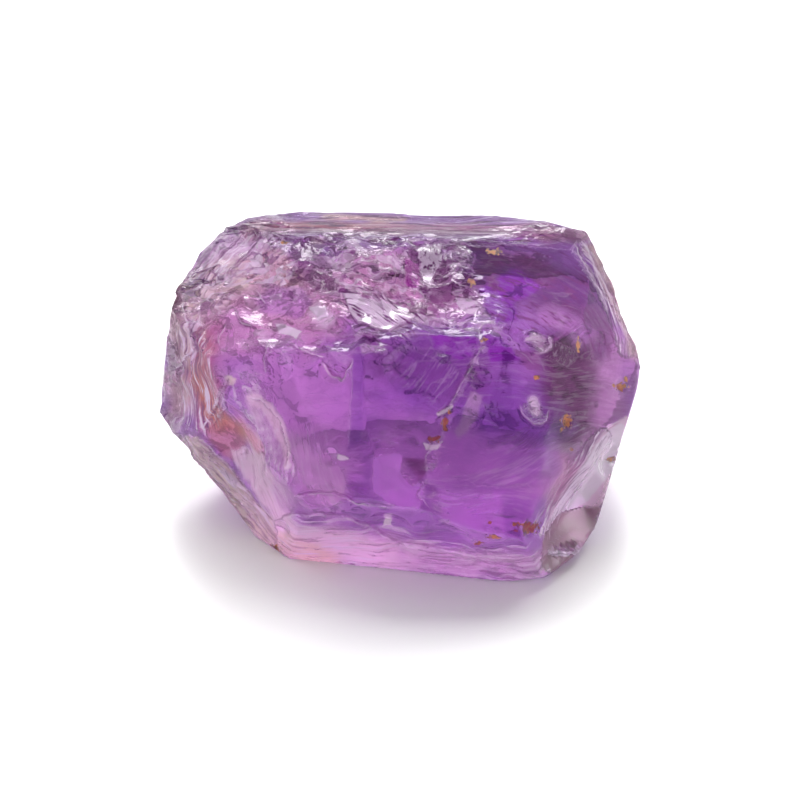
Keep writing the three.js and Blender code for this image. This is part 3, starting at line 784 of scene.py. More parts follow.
def beside_row(across, up, marks):
    """Distance to the right of a row of marks (left is negative), and the share along it."""
    marks = np.array(marks, float)
    runs = np.diff(marks, axis=0)
    lengths = np.hypot(*runs.T)
    before = np.concatenate([[0], np.cumsum(lengths)])
    nearest = np.full(len(across), np.inf)
    aside = np.zeros(len(across))
    along = np.zeros(len(across))
    for mark, run, length, start in zip(marks[:-1], runs, lengths, before):
        off_across, off_up = across - mark[0], up - mark[1]
        raw = (off_across * run[0] + off_up * run[1]) / length
        held = np.clip(raw, 0, length)
        away = np.hypot(off_across - held * run[0] / length, off_up - held * run[1] / length)
        right = (off_across * run[1] - off_up * run[0]) / length
        closer = away < nearest
        nearest = np.where(closer, away, nearest)
        aside = np.where(closer, np.sign(right) * away, aside)
        along = np.where(closer, (start + held) / before[-1], along)
    return aside, along


wander_across = smooth_noise(bare / WANDER_SIZE, 71) * LEDGE_WANDER
wander_up = smooth_noise(bare / WANDER_SIZE, 72) * LEDGE_WANDER
wandered_across = seen_across + wander_across
wandered_up = seen_up + wander_up
steps_relief, ledge_highlight, ledge_light_and_shade = np.zeros((3, len(bare)))
ledge_away = np.full(len(bare), NOWHERE_NEAR)
for marks, step, climb, brightness in LEDGES.values():
    aside, along = beside_row(wandered_across, wandered_up, marks)
    ends = smooth(along, 0, LEDGE_ENDS) * smooth(1 - along, 0, LEDGE_ENDS) * toward_eye
    drop = smooth(aside, 0, LEDGE_BREAK) * (1 - smooth(aside, LEDGE_BREAK, climb))
    steps_relief -= step * drop * ends
    # A painted highlight along the crest of each ledge.
    from_crest = np.abs(aside + LEDGE_CREST)
    crest_highlight = brightness * ends * (1 - smooth(from_crest, LIGHT_CORE * LEDGE_LIGHT, LEDGE_LIGHT))
    ledge_highlight = np.maximum(ledge_highlight, crest_highlight)
    nearer = np.abs(aside) < np.abs(ledge_away)
    ledge_away = np.where(nearer, aside, ledge_away)
    ledge_light_and_shade = np.where(nearer, brightness * ends, ledge_light_and_shade)
ledge_highlight *= 1 - LEDGE_FLICKER + LEDGE_FLICKER * smooth_noise(bare / WANDER_SIZE, 73)
print("deepest step", round(-steps_relief.min(), 2), "mm")

# %% [markdown]
# ## The finished surface
# Chips, lines, steps and slow swells are added up and carried outwards along each direction. They
# fade out over the foot, which stays flat, and nothing is let past the box of the CAD solid.

# %% Raise the surface
SWELL_HEIGHT = 0.22
FOOT_CLEAR = 2.0  # height in millimetres at which the relief is whole

relief = rough * broken + lines_relief + steps_relief + swells(bare) * SWELL_HEIGHT
relief *= smooth(bare[:, 2], 0, FOOT_CLEAR)
surface = bare + directions * relief[:, None]
surface[on_foot, 2] = 0
surface = np.clip(surface * MM, np.array(cad_box[0]), np.array(cad_box[1]))
print("relief from", round(relief.min(), 2), "to", round(relief.max(), 2), "mm")

# %% [markdown]
# ## Colour zones
# Amethyst is never one purple. The heart of this stone is blue-violet, its left end is pale and a
# little rusty, and its foot is pink. The silver on the flake scars is a painted reflection.
# Colours are laid on as soft patches, each along a stretch between two marks, one over another.

# %% Hues
# Hue words, as red, green and blue from 0 to 255 on a screen.
HUES = {
    "violet": (150, 90, 185),
    "deep violet": (115, 60, 165),
    "dark violet": (86, 38, 106),
    "bright violet": (215, 145, 245),
    "orchid": (192, 128, 208),
    "mauve": (210, 145, 185),
    "dark mauve": (110, 60, 110),
    "rosy": (250, 222, 240),
    "pink": (235, 175, 190),
    "pale lilac": (232, 200, 232),
    "silver": (245, 236, 248),
    "pale beige": (235, 210, 190),
    "rust": (205, 105, 35),
    "peach": (232, 190, 165),
    "cream": (240, 232, 205),
    "dusk": (98, 40, 98),
    "dusty rose": (178, 80, 70),
    "blush": (220, 190, 185),
    "warm beige": (250, 222, 200),
    "stone grey": (235, 222, 200),
    "plum": (66, 14, 62),
    "smoky": (152, 122, 122),
    "dull mauve": (170, 120, 150),
    "vivid violet": (118, 28, 165),
    "rose violet": (178, 78, 140),
    "magenta": (175, 30, 165),
    "grey lilac": (165, 140, 175),
}


def linear(screen):
    """A screen colour of 0 to 255 as light: ((s + 0.055) / 1.055) to the power 2.4."""
    s = np.asarray(screen, float) / 255
    return np.where(s < 0.04045, s / 12.92, ((s + 0.055) / 1.055) ** 2.4)


print(len(HUES), "hues")

# %% Soft patches
# Hue, from mark, to mark, half width in millimetres and strength.
COLOUR_PATCHES = [
    ("dull mauve", (20.5, 4), (17.5, -8), 5, 0.6),
    ("plum", (17, 4), (17, -2), 4, 1),
    ("orchid", (-12, 2), (-9, -8), 5.5, 0.9),
    ("rosy", (-12, -13), (-2, -16), 3.2, 1),
    ("rosy", (2, -16.5), (14, -17.5), 2.6, 0.6),
    ("mauve", (12, -6), (18, -10), 3.2, 0.7),
    ("rosy", (-16, -6), (-12.5, -10.5), 2.6, 1),
    ("rosy", (-10, -6), (-7, -9), 2, 0.5),
    ("mauve", (-16, 8), (3, 11.5), 5, 0.9),
    ("pale beige", (-21, 10), (-22.5, 0), 2.6, 0.8),
    ("pale beige", (-20.5, -6), (-13, -14.5), 1.8, 0.9),
    ("pale lilac", (-20, 13), (-14, 16), 2.6, 0.9),
    ("pale beige", (-21, 10), (-16, 12), 3, 0.8),
    ("dusty rose", (-14, 16.9), (0, 16.8), 1.8, 0.75),
    ("rose violet", (0, 16.8), (14, 16.5), 1.8, 0.8),
    ("peach", (14, 16.2), (18.5, 16), 1, 0.5),
    ("dark mauve", (-12, 16.3), (17, 15.8), 1.1, 0.7),
    ("dusty rose", (-20, 6), (-19.5, -1), 2.4, 0.75),
    ("smoky", (-22.5, 9), (-22.8, -3), 1.6, 0.8),
    ("warm beige", (-14, -15.5), (-8, -16.5), 2.6, 1),
    ("dull mauve", (17, -11), (18, -14.5), 2.2, 0.8),
    ("peach", (-7, 17.8), (0, 17.8), 0.9, 0.7),
    ("peach", (-14, 13), (-11, 12), 1.4, 0.5),
    ("rust", (-19.5, -2), (-15.5, -6), 2, 0.8),
    ("rust", (-21, 1.5), (-19.5, -1), 1.3, 0.7),
    ("deep violet", (3, 3), (12, -5), 5, 1),
    ("dark violet", (-1, 3.5), (7, 2.5), 3, 0.6),
    ("orchid", (0, -5), (14, -7.5), 3.5, 0.45),
    ("dark violet", (8, 13.5), (19, 9), 4.4, 1),
    ("dark mauve", (14, 8), (20, 7), 2, 0.5),
    # The silver patches are painted reflection: the light that the flake scars mirror.
    ("silver", (-6.4, 13), (-5.4, 13), 1, 0.7),
    ("silver", (-8.6, 9), (-7.6, 8), 1.2, 0.6),
    ("silver", (-2.6, 12.6), (-2, 12), 0.8, 0.7),
    ("silver", (-5, 15.4), (-3.6, 14.8), 0.7, 0.7),
    ("silver", (13.6, 5.9), (14.4, 5), 0.6, 0.9),
    ("silver", (13.4, -0.6), (13.8, -1.5), 0.6, 0.9),
    ("silver", (-7.4, 3.2), (-6, 2), 0.3, 0.7),
    ("pale lilac", (-14.6, -0.4), (-11.8, -6), 1.1, 1),
    ("blush", (19.3, 14.5), (23.3, 5), 1.2, 0.9),
    ("orchid", (15, 8), (18, 6), 1.6, 0.5),
]
print(len(COLOUR_PATCHES), "soft patches")

# %% Lay the patches on
PATCH_FULL_TO, PATCH_GONE_AT = 0.4, 1.3  # in half widths of a patch
PATCH_RAGGEDNESS, RAG_SIZE = 0.35, 2.2


def from_line(points, start, end):
    """Distance in space from the straight line between two points."""
    run = end - start
    share = np.clip((points - start) @ run / (run @ run), 0, 1)
    return np.linalg.norm(points - start - share[:, None] * run, axis=1)


def tint(colours, hue, share):
    """Moves colours towards a hue by a share: colour + (hue - colour) · share."""
    colours += (linear(HUES[hue]) - colours) * share[:, None]


zone = np.tile(linear(HUES["violet"]), (len(bare), 1))
patch_edge = 1 + PATCH_RAGGEDNESS * smooth_noise(bare / RAG_SIZE, 91)
for hue, start, end, half_width, strength in COLOUR_PATCHES:
    away = from_line(bare, on_surface(start), on_surface(end)) * patch_edge
    inside = 1 - smooth(away, PATCH_FULL_TO * half_width, PATCH_GONE_AT * half_width)
    tint(zone, hue, strength * inside)
print("mean colour", zone.mean(axis=0).round(2))

# %% [markdown]
# ## Over the rim
# Round the rim the colours run on over the edge. The ground that the eye never sees is paler and
# cloudy, as the skin of a broken piece is, and the change between the two is ragged.

# %% The pale back
PAST_RIM = (0.2, 2.6)  # millimetres inside the outline
RIM_RAG, CLOUD_SIZE = 1.6, 4.5  # millimetres
LEAST_CLOUDY, CLOUD_RANGE = 0.55, (-0.6, 0.5)
ORCHID_SKIN, PALE_SKIN = 0.8, 0.9


def depth_in_pane(across, up, corners):
    """Millimetres inside a ring of marks, negative outside it.

    A place is inside when a line running right from it crosses the ring an odd number of times."""
    inside = np.zeros(len(across), bool)
    nearest = np.full(len(across), np.inf)
    for start, end in zip(corners, corners[1:] + corners[:1]):
        crosses = (start[1] > up) != (end[1] > up)
        slant = (end[0] - start[0]) / (end[1] - start[1] if end[1] != start[1] else 1e-9)
        inside ^= crosses & (across < start[0] + (up - start[1]) * slant)
        nearest = np.minimum(nearest, from_stretch(across, up, start, end))
    return np.where(inside, nearest, -nearest)


rim_marks = list(dict.fromkeys(mark for face in RIM_FACES.values() for mark in face[:2]))
past_rim = depth_in_pane(seen_across, seen_up, rim_marks) + smooth_noise(bare / RIM_RAG, 97)
hidden_share = (1 - toward_eye) * smooth(past_rim, *PAST_RIM)
clouds = smooth(smooth_noise(bare / CLOUD_SIZE, 98), *CLOUD_RANGE)
cloudy = LEAST_CLOUDY + (1 - LEAST_CLOUDY) * clouds
tint(zone, "orchid", ORCHID_SKIN * hidden_share)
tint(zone, "pale lilac", PALE_SKIN * hidden_share * cloudy)
print(round(100 * (hidden_share > 0.5).mean()), "percent of the corners have the pale skin")

# %% [markdown]
# ## Inner reflections
# Looking into the stone, the eye meets its far faces as panes of light with straight borders.
# They move with the eye, and the faces that make them aren't known, so they are laid on as
# colour where they are seen from the front. The silver and the darkest ones get a crisp border.

# %% Panes
# Hue, corners, strength and the width over which the border fades.
COLOUR_PANES = [
    ("orchid", [(-14, 5), (-4.8, 4.4), (-4.9, -0.5), (-5.3, -5), (-6, -10), (-11.5, -12),
                (-14.2, -8), (-13.8, -1)], 0.5, 0.3),
    ("orchid", [(-20, 9), (-14.5, 8.4), (-13.8, 3), (-15.5, 1.5), (-18, 4)], 0.3, 0.5),
    ("deep violet", [(-4.8, 4.3), (-3.6, 4.3), (-3.8, -4.6), (-5.2, -5.4), (-4.8, 0)], 0.45, 0.12),
    ("dark mauve", [(0.1, -6.2), (2.8, -6.4), (2.6, -8), (1.2, -9.2), (0.2, -7.9)], 0.7, 0.15),
    ("vivid violet", [(8, 6.8), (11.3, 4.7), (12.1, 3.5), (9.1, 3.2)], 1, 0.15),
    ("dark mauve", [(11.3, 4.7), (14, 4.3), (14.1, 2.4), (12.8, 2.6)], 0.6, 0.25),
    ("vivid violet", [(7.8, 10.6), (10, 12), (11.2, 12.7), (13, 12), (14, 10.6), (12, 9.6),
                      (10.5, 9)], 1, 0.25),
    ("vivid violet", [(8.2, 10.4), (9.3, 11), (11.4, 9.6), (11.8, 7.6), (9.6, 7), (8.2, 8.2)],
     1, 0.25),
    ("vivid violet", [(3, 6.4), (7.6, 6.2), (8, 4.2), (6, 3.6), (3.4, 4.6)], 0.85, 0.2),
    ("dark mauve", [(8, 13.3), (10, 14), (12, 14.5), (14.5, 13.8), (16, 12), (14.8, 11),
                    (12.5, 12.5), (10.5, 13.3), (9, 12.4)], 0.45, 1.1),
    ("dusk", [(8.7, 11.9), (9.3, 12.2), (10, 11.3), (9.7, 10.4), (8.9, 11.1)], 0.7, 0.15),
    ("dark mauve", [(-10.6, 15.4), (-8.9, 15.4), (-7, 13.3), (-6.2, 11), (-8.2, 10.5), (-10, 12),
                    (-10.8, 13.7)], 0.55, 0.3),
    ("pink", [(-16, 12.7), (-13.8, 14.5), (-11.5, 14.5), (-10.8, 13.3), (-13, 11.5), (-15.2, 11)],
     0.85, 0.3),
    ("orchid", [(-13.2, 10.7), (-10, 11), (-8.8, 9.5), (-10, 7.7), (-13.8, 8.3), (-14.4, 9.7)],
     0.7, 0.3),
    ("magenta", [(0.5, 13.2), (1.8, 13.2), (2, 11), (1.2, 10.3), (0.4, 11)], 1, 0.15),
    ("dusk", [(0.7, 14.6), (2, 14.8), (1.7, 13.4), (1.1, 13.2)], 0.9, 0.1),
    ("dark mauve", [(2.2, 10.8), (4.6, 13.6), (5.5, 12), (5.2, 9.4), (2.6, 9.2)], 0.7, 0.25),
    ("silver", [(1.8, 14.8), (4.2, 15), (4.1, 13.2), (3.2, 11.6), (2.4, 11), (2.1, 12.6)], 0.95, 0.12),
    ("silver", [(-5.8, 10.4), (-5, 8.4), (-4.2, 7.4), (-1.1, 6.5), (0.4, 7.1), (1.6, 8), (0, 9.3),
                (-4.7, 10.3)], 0.9, 0.15),
    ("silver", [(-9.1, 8.9), (-7.6, 9.1), (-7.3, 7.9), (-8.2, 7.5)], 0.7, 0.15),
    ("silver", [(5.5, 9.8), (7.2, 9.8), (8, 8.8), (7.4, 7.8), (6, 8.4)], 0.7, 0.15),
    ("silver", [(-12.4, 7.2), (-11.2, 7), (-9.8, 6.4), (-10.4, 5.8), (-12, 6.2)], 0.6, 0.2),
    ("silver", [(22.3, -2.6), (23, -3.6), (21.4, -7.5), (19, -10.4), (16, -12.2), (14.8, -13.2),
                (15.6, -11.4), (18.4, -7.3), (20.8, -3.8)], 0.75, 0.2),
    ("silver", [(14.6, -15.3), (16.2, -15.5), (18.2, -15.1), (18.5, -15.6), (16.4, -16.2),
                (14.8, -16)], 0.6, 0.1),
    ("silver", [(-1.5, -11.8), (-0.9, -11.8), (-0.8, -13.1), (-1.6, -13.2)], 0.9, 0.08),
    ("silver", [(-6.2, -5.8), (-5.2, -6.2), (-5.6, -6.5), (-6.3, -6.2)], 0.9, 0.08),
    ("silver", [(2.4, -4.8), (3.2, -5.1), (4.2, -4.6), (3.6, -5.3), (2.6, -5.4)], 0.9, 0.08),
    ("silver", [(3.7, -1.9), (5.3, -0.9), (5.4, -1.1), (3.9, -2.2)], 0.9, 0.06),
    ("grey lilac", [(7, 0.4), (8.2, 0), (7.8, -2), (6.6, -3.7), (5.8, -4.4), (5.5, -3.7),
                    (6.3, -1.7)], 0.7, 0.15),
    ("bright violet", [(-2.8, -6), (0, -5.7), (2.5, -9.5), (2, -11.7), (-0.8, -11.3),
                       (-2.8, -9.5)], 0.75, 0.3),
    ("bright violet", [(4, -9.3), (10, -9.7), (10.5, -14.5), (7, -15), (4.5, -12.5),
                       (3.2, -10.5)], 0.55, 0.35),
    ("rust", [(-19.8, -3), (-17.5, -2), (-15.7, -3.3), (-15.5, -5), (-16.2, -6.7), (-17.8, -6),
              (-19.2, -4.5)], 0.5, 0.3),
    ("rosy", [(-15.3, 0), (-14.2, 0.2), (-12.8, -0.8), (-11.6, -2.4), (-10.9, -4.9),
              (-10.8, -7.2), (-11.6, -7.4), (-11.9, -5.1), (-12.8, -2.9), (-13.8, -1.4),
              (-15, -0.8)], 1, 0.12),
    ("warm beige", [(-14.5, -13), (-12, -13.5), (-8, -15), (-7, -16.6), (-11, -17), (-14.3, -15.5)],
     0.8, 0.4),
    ("rosy", [(-16.8, -5.6), (-15.5, -5.2), (-13.8, -6), (-12.8, -8), (-12.6, -11), (-13.8, -11),
              (-15.2, -8.7), (-16.4, -7)], 0.9, 0.3),
    ("stone grey", [(-22.3, -4.1), (-20.3, -4.1), (-18.6, -5.8), (-16.7, -7.6), (-14.5, -10.5),
                    (-12.6, -12.6), (-12.6, -16.2), (-15.9, -13), (-18.8, -9.7), (-21, -6.5)],
     0.8, 0.2),
    ("cream", [(-17.3, 2), (-16.4, 1.8), (-16.7, 0.9), (-17.4, 1)], 0.8, 0.12),
    ("cream", [(-16, 11.5), (-15.2, 11.7), (-15.1, 10.9), (-15.9, 10.8)], 0.6, 0.15),
    ("cream", [(-9, 15.8), (-7.6, 15.8), (-7.7, 15.1), (-8.8, 15.1)], 0.6, 0.15),
    ("dusty rose", [(-21.4, 5), (-19, 3), (-17.6, 1), (-20.1, -3.7), (-21.5, 0)], 0.4, 0.3),
    ("smoky", [(14.3, -14), (16.2, -11.8), (19.3, -10.9), (20.8, -10.5), (20.2, -13.5),
               (18.2, -16.5), (16, -18), (14.2, -17.4), (14, -15.8)], 0.9, 0.15),
    ("plum", [(14, 5.5), (19, 5), (20, 1), (19, -3), (15, -3), (14.4, 1)], 0.6, 0.8),
    ("dull mauve", [(23.6, -2.5), (24, -4), (21.4, -11), (19.5, -11), (20.6, -8.5), (21.6, -5.3)],
     0.9, 0.2),
    ("rosy", [(22.8, -2.1), (24, -3), (23, -7), (21.5, -10.6), (16.5, -11.9), (14.5, -13.7),
              (14.3, -13), (15.4, -11), (18.6, -6.7), (20.9, -3.1)], 0.85, 0.15),
]
print(len(COLOUR_PANES), "panes")

# %% Lay the panes on
CALM_HUES = ("deep violet", "bright violet", "vivid violet", "dusk", "orchid", "dark mauve",
             "silver", "magenta")  # seen through smooth ground, which quiets the chips over them
DULL_HUES = ("dull mauve", "stone grey", "warm beige", "smoky")  # a skin without gloss
FAR_OUTSIDE = -9.0

silver_depth, dark_depth = np.full((2, len(bare)), FAR_OUTSIDE)
calm, dull = np.zeros((2, len(bare)))
for hue, corners, strength, fade in COLOUR_PANES:
    depth = depth_in_pane(wandered_across, wandered_up, corners)
    if hue == "silver":
        silver_depth = np.maximum(silver_depth, depth)
    if hue in ("dusk", "dark mauve"):
        dark_depth = np.maximum(dark_depth, depth)
    share = strength * toward_eye * smooth(depth, -fade, fade)
    calm = np.maximum(calm, share * (hue in CALM_HUES))
    dull = np.maximum(dull, share * (hue in DULL_HUES))
    tint(zone, hue, share)
silver_depth = np.where(facing > 0, silver_depth, FAR_OUTSIDE)
dark_depth = np.where(facing > 0, dark_depth, FAR_OUTSIDE)
print("colour from", zone.min(axis=0).round(2), "to", zone.max(axis=0).round(2))

# %% [markdown]
# ## Light on the chips
# The bottoms of the chips get painted shade, and their ridges and the edges of the ledges a
# painted highlight.
# On the calm panes the pits and the ridges are quieter.

# %% Painted shade in the pits, painted highlights on the ridges
PIT_SHADE, RIDGE_SHINE, RIDGE_LINE_SHINE, EDGE_SHINE = 0.38, 0.3, 0.35, 0.35
PIT_DEPTHS, RIDGE_HEIGHTS = (0.05, 0.5), (0.05, 0.45)  # millimetres
PIT_GROUND, RIDGE_GROUND = (0.2, 0.8), (0.2, 0.7)  # how broken the ground is
PIT_CALM, RIDGE_CALM = 0.5, 0.85
RIDGE_PATCH, RIDGE_RANGE = 1.3, (-0.4, 0.5)

pits = smooth(-rough, *PIT_DEPTHS) * smooth(broken, *PIT_GROUND)
ridges = smooth(rough, *RIDGE_HEIGHTS) * smooth(broken, *PIT_GROUND)
# Painted shade at the bottoms of the chips.
zone *= 1 - PIT_SHADE * (pits * (1 - PIT_CALM * calm))[:, None]
ridge_patches = smooth(smooth_noise(bare / RIDGE_PATCH, 95), *RIDGE_RANGE)
ridge_line_highlight = ridge_lines * smooth(broken, *RIDGE_GROUND) * ridge_patches
ridge_highlight = np.maximum(RIDGE_SHINE * ridges, RIDGE_LINE_SHINE * ridge_line_highlight)
# Painted highlights on the ridges and on the ledges' crests.
tint(zone, "silver", ridge_highlight * (1 - RIDGE_CALM * calm))
tint(zone, "silver", EDGE_SHINE * ledge_highlight)
print("pits at", round(100 * (pits > 0.5).mean()), "percent of the corners")

# %% [markdown]
# ## Rust specks
# Grains of iron oxide sit in small pits: orange, ochre and nearly black. Each corner of the mesh
# keeps its distance to the nearest speck, counted in that speck's own half width, and how red
# that speck is. The material then draws a ragged border where the distance passes one.

# %% Distance to the nearest speck
# Mark, half width across and up in millimetres, and redness from 0 for ochre to 1 for red-brown.
RUST_SPECKS = [
    (12.7, -13.1, 1.3, 0.65, 0.9), (11.7, -12.7, 0.6, 0.3, 0.3), (16.8, -2.6, 0.6, 0.7, 0.3),
    (16.2, -3.5, 0.3, 0.3, 0.6), (22.2, 0.9, 0.8, 0.45, 0.2), (22.6, 1.6, 0.3, 0.4, 0.1),
    (17.8, 5, 0.25, 0.8, 0.2), (8.4, 5.5, 0.4, 0.35, 0.5), (4.5, -2.9, 0.45, 0.7, 0.8),
    (3.4, -4.4, 0.8, 0.4, 1), (5, -1.6, 0.25, 0.3, 0.5), (-12.6, -15.3, 0.7, 0.5, 0.3),
    (9.2, -14, 0.7, 0.25, 0.2), (7.8, -14.6, 0.5, 0.2, 0.4), (17.2, -5.4, 0.3, 0.2, 0.6),
    (9.4, 14.4, 0.9, 0.35, 0), (7.2, 11.5, 0.4, 0.5, 0.4), (13.6, 1.8, 0.35, 0.3, 0.1),
    (21.2, -6.4, 0.5, 0.3, 0.3), (-11.6, 15.3, 0.4, 0.3, 0), (9, -12.6, 0.4, 0.2, 0.3),
]
speck_away = np.full(len(bare), NOWHERE_NEAR)
speck_red = np.zeros(len(bare))
for across, up, half_across, half_up, red in RUST_SPECKS:
    away = np.hypot((seen_across - across) / half_across, (seen_up - up) / half_up)
    away = np.where(facing > 0, away, NOWHERE_NEAR)
    speck_red = np.where(away < speck_away, red, speck_red)
    speck_away = np.minimum(speck_away, away)
print(len(RUST_SPECKS), "rust specks")

# %% [markdown]
# ## The stone as a mesh
# Blender keeps numbers at the corners of a mesh under names of their own, and a material can read
# them. So the colours, the distances and the shares worked out above all travel with the stone.

# %% The stone's mesh
SHARP_EDGE = math.radians(38)


def mesh_object(name, points, faces, shade_smooth=True):
    """An object at the origin from an array of corners and an array of triangles."""
    mesh = bpy.data.meshes.new(name)
    mesh.vertices.add(len(points))
    mesh.vertices.foreach_set("co", np.asarray(points, np.float32).ravel())
    mesh.loops.add(faces.size)
    mesh.loops.foreach_set("vertex_index", faces.ravel().astype(np.int32))
    mesh.polygons.add(len(faces))
    mesh.polygons.foreach_set("loop_start", np.arange(0, faces.size, 3, dtype=np.int32))
    mesh.polygons.foreach_set("use_smooth", np.full(len(faces), shade_smooth))
    mesh.update(calc_edges=True)
    mesh.validate()
    piece = bpy.data.objects.new(name, mesh)
    bpy.context.scene.collection.objects.link(piece)
    return piece


stone = mesh_object("amethyst_stone", surface, triangles)
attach(stone, "root")
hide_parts("rough_amethyst")
stone.data.set_sharp_from_angle(angle=SHARP_EDGE)
print("stone:", len(stone.data.polygons), "triangles")

# %% Numbers at the corners
BROKEN_FROST, DULL_FROST = 0.6, 0.9
CHIPPED_FROM, CHIPPED_TO = 0.02, 0.45  # how broken the ground is where tiny chips start to show
HIDDEN_CHIPS, CHIP_CALM = 0.5, 0.95


def keep_number(piece, name, values):
    """Stores one number for each corner of a mesh."""
    layer = piece.data.attributes.new(name, "FLOAT", "POINT")
    layer.data.foreach_set("value", np.asarray(values, np.float32))


def keep_place(piece, name, values):
    """Stores a place, three numbers, for each corner of a mesh."""
    layer = piece.data.attributes.new(name, "FLOAT_VECTOR", "POINT")
    layer.data.foreach_set("vector", np.asarray(values, np.float32).ravel())


def keep_colour(piece, name, values):
    """Stores a colour for each corner of a mesh."""
    layer = piece.data.color_attributes.new(name, "FLOAT_COLOR", "POINT")
    with_alpha = np.concatenate([values, np.ones((len(values), 1))], axis=1)
    layer.data.foreach_set("color", with_alpha.astype(np.float32).ravel())


chips_in_sight = HIDDEN_CHIPS + (1 - HIDDEN_CHIPS) * toward_eye
tiny_chip_ground = broken * smooth(broken, CHIPPED_FROM, CHIPPED_TO) * chips_in_sight
numbers = {
    "frost": np.maximum.reduce([BROKEN_FROST * broken, DULL_FROST * dull, 1 - toward_eye]),
    "chip_contrast": tiny_chip_ground * (1 - CHIP_CALM * calm),
    "ledge_away": ledge_away, "ledge_light_and_shade": ledge_light_and_shade,
    "silver_depth": silver_depth, "dark_depth": dark_depth,
    "speck_away": speck_away, "speck_red": speck_red,
    "lines_light": lines_light, "lines_dark": lines_dark,
}
for name, values in numbers.items():
    keep_number(stone, name, values)
keep_place(stone, "lines_place", lines_place)
keep_colour(stone, "zone", zone)
print("kept at each corner:", ", ".join(numbers), "and the colour")

# %% [markdown]
# ## The stone's finish
# Quartz bends light by 1.544 and this one drinks green light. Its smooth faces are glassy. The
# broken ground is frosted: too fine to model, so tiny tipped planes are pressed into the shading
# there, each with its own tone, as the real chips catch the light one by one. One Principled
# shader is the whole stone, with plain transmission, and a volume inside it absorbs the green.

# %% Body of the stone
QUARTZ_IOR = 1.544
SEE_THROUGH = 0.66
COAT_ROUGHNESS = 0.1
VIOLET_LEFT, VIOLET_DENSITY = (0.71, 0.1, 0.7, 1), 35


def node(tree, kind, inputs=(), **settings):
    """Adds a node, makes its settings, and gives each input a value or a link."""
    made = tree.nodes.new("ShaderNode" + kind)
    for name, value in settings.items():
        setattr(made, name, value)
    for name, value in dict(inputs).items():
        if isinstance(value, bpy.types.NodeSocket):
            tree.links.new(value, made.inputs[name])
        else:
            made.inputs[name].default_value = value
    return made


def feed(value, socket):
    """Links a socket to the input that it feeds."""
    value.id_data.links.new(value, socket)


def kept(tree, name):
    """A number stored at the corners of the mesh."""
    return node(tree, "Attribute", attribute_name=name).outputs["Fac"]


def plain_material(name):
    """A new node material and its Principled shader."""
    material = bpy.data.materials.new(name)
    material.use_nodes = True
    return material, material.node_tree.nodes["Principled BSDF"]


material, shader = plain_material("amethyst")
tree = material.node_tree
shader.inputs["IOR"].default_value = QUARTZ_IOR
shader.inputs["Transmission Weight"].default_value = SEE_THROUGH
shader.inputs["Coat Roughness"].default_value = COAT_ROUGHNESS
absorb = node(tree, "VolumeAbsorption", {"Color": VIOLET_LEFT, "Density": VIOLET_DENSITY})
feed(absorb.outputs["Volume"], tree.nodes["Material Output"].inputs["Volume"])
stone.data.materials.append(material)

place = node(tree, "TexCoord").outputs["Object"]
zone_colour = node(tree, "Attribute", attribute_name="zone").outputs["Color"]
lines_at = node(tree, "Attribute", attribute_name="lines_place").outputs["Vector"]
chip_contrast = kept(tree, "chip_contrast")
lines_share = kept(tree, "lines_light")
ledge_light = kept(tree, "ledge_light_and_shade")
print("amethyst: index of refraction", QUARTZ_IOR, "and absorption density", VIOLET_DENSITY)

# %% [markdown]
# ## Tiny chips
# The smallest chips are too many to model. A Voronoi pattern cuts space into cells, and each
# cell is a flat facet with its own tip and its own tone. The group is placed twice, once for
# large chips and once for small ones.

# %% Sums on sockets
def tree_of(*values):
    """The node tree that the first socket among some values belongs to."""
    return next(value.id_data for value in values if isinstance(value, bpy.types.NodeSocket))


def calculate(operation, *values):
    """The outcome of one sum on numbers, at least one of them a socket."""
    return node(tree_of(*values), "Math", enumerate(values), operation=operation).outputs[0]


def times(*values):
    """The product of two numbers."""
    return calculate("MULTIPLY", *values)


def times_plus(first, second, more):
    """first · second + more."""
    return calculate("MULTIPLY_ADD", first, second, more)


def between(value, low, high, to_low, to_high):
    """A value carried from one range to another and held inside it."""
    limits = {"Value": value, "From Min": low, "From Max": high, "To Min": to_low, "To Max": to_high}
    return node(tree_of(value), "MapRange", limits).outputs["Result"]


print("helpers for sums: calculate, times, times_plus and between")

# %% Tiny chips
CHIP_BEND, CHIP_BENDS_PER_METRE = 0.0009, 700
CHIP_TURN, CHIP_STRETCH = (0.3, 0.5, 0.4), (0.45, 1.2, 1)
CHIP_SLOPE = 1.6
CHIP_BORDER = 0.07  # in cells


def new_group(name, inputs, outputs):
    """A node group, its inputs and its outputs."""
    tree = bpy.data.node_groups.new(name, "ShaderNodeTree")
    for label, kind in inputs.items():
        tree.interface.new_socket(label, in_out="INPUT", socket_type="NodeSocket" + kind)
    for label, kind in outputs.items():
        tree.interface.new_socket(label, in_out="OUTPUT", socket_type="NodeSocket" + kind)
    return tree, tree.nodes.new("NodeGroupInput").outputs, tree.nodes.new("NodeGroupOutput").inputs


def on_places(operation, *values):
    """The outcomes of one sum on places or directions: a vector and a number."""
    return node(tree_of(*values), "VectorMath", enumerate(values), operation=operation).outputs


def noise(place, per_unit, detail=3, **inputs):
    """A soft noise with so many waves to each unit of the place, a metre for Object places."""
    inputs = {"Vector": place, "Scale": per_unit, "Detail": detail} | inputs
    return node(tree_of(place), "TexNoise", inputs)


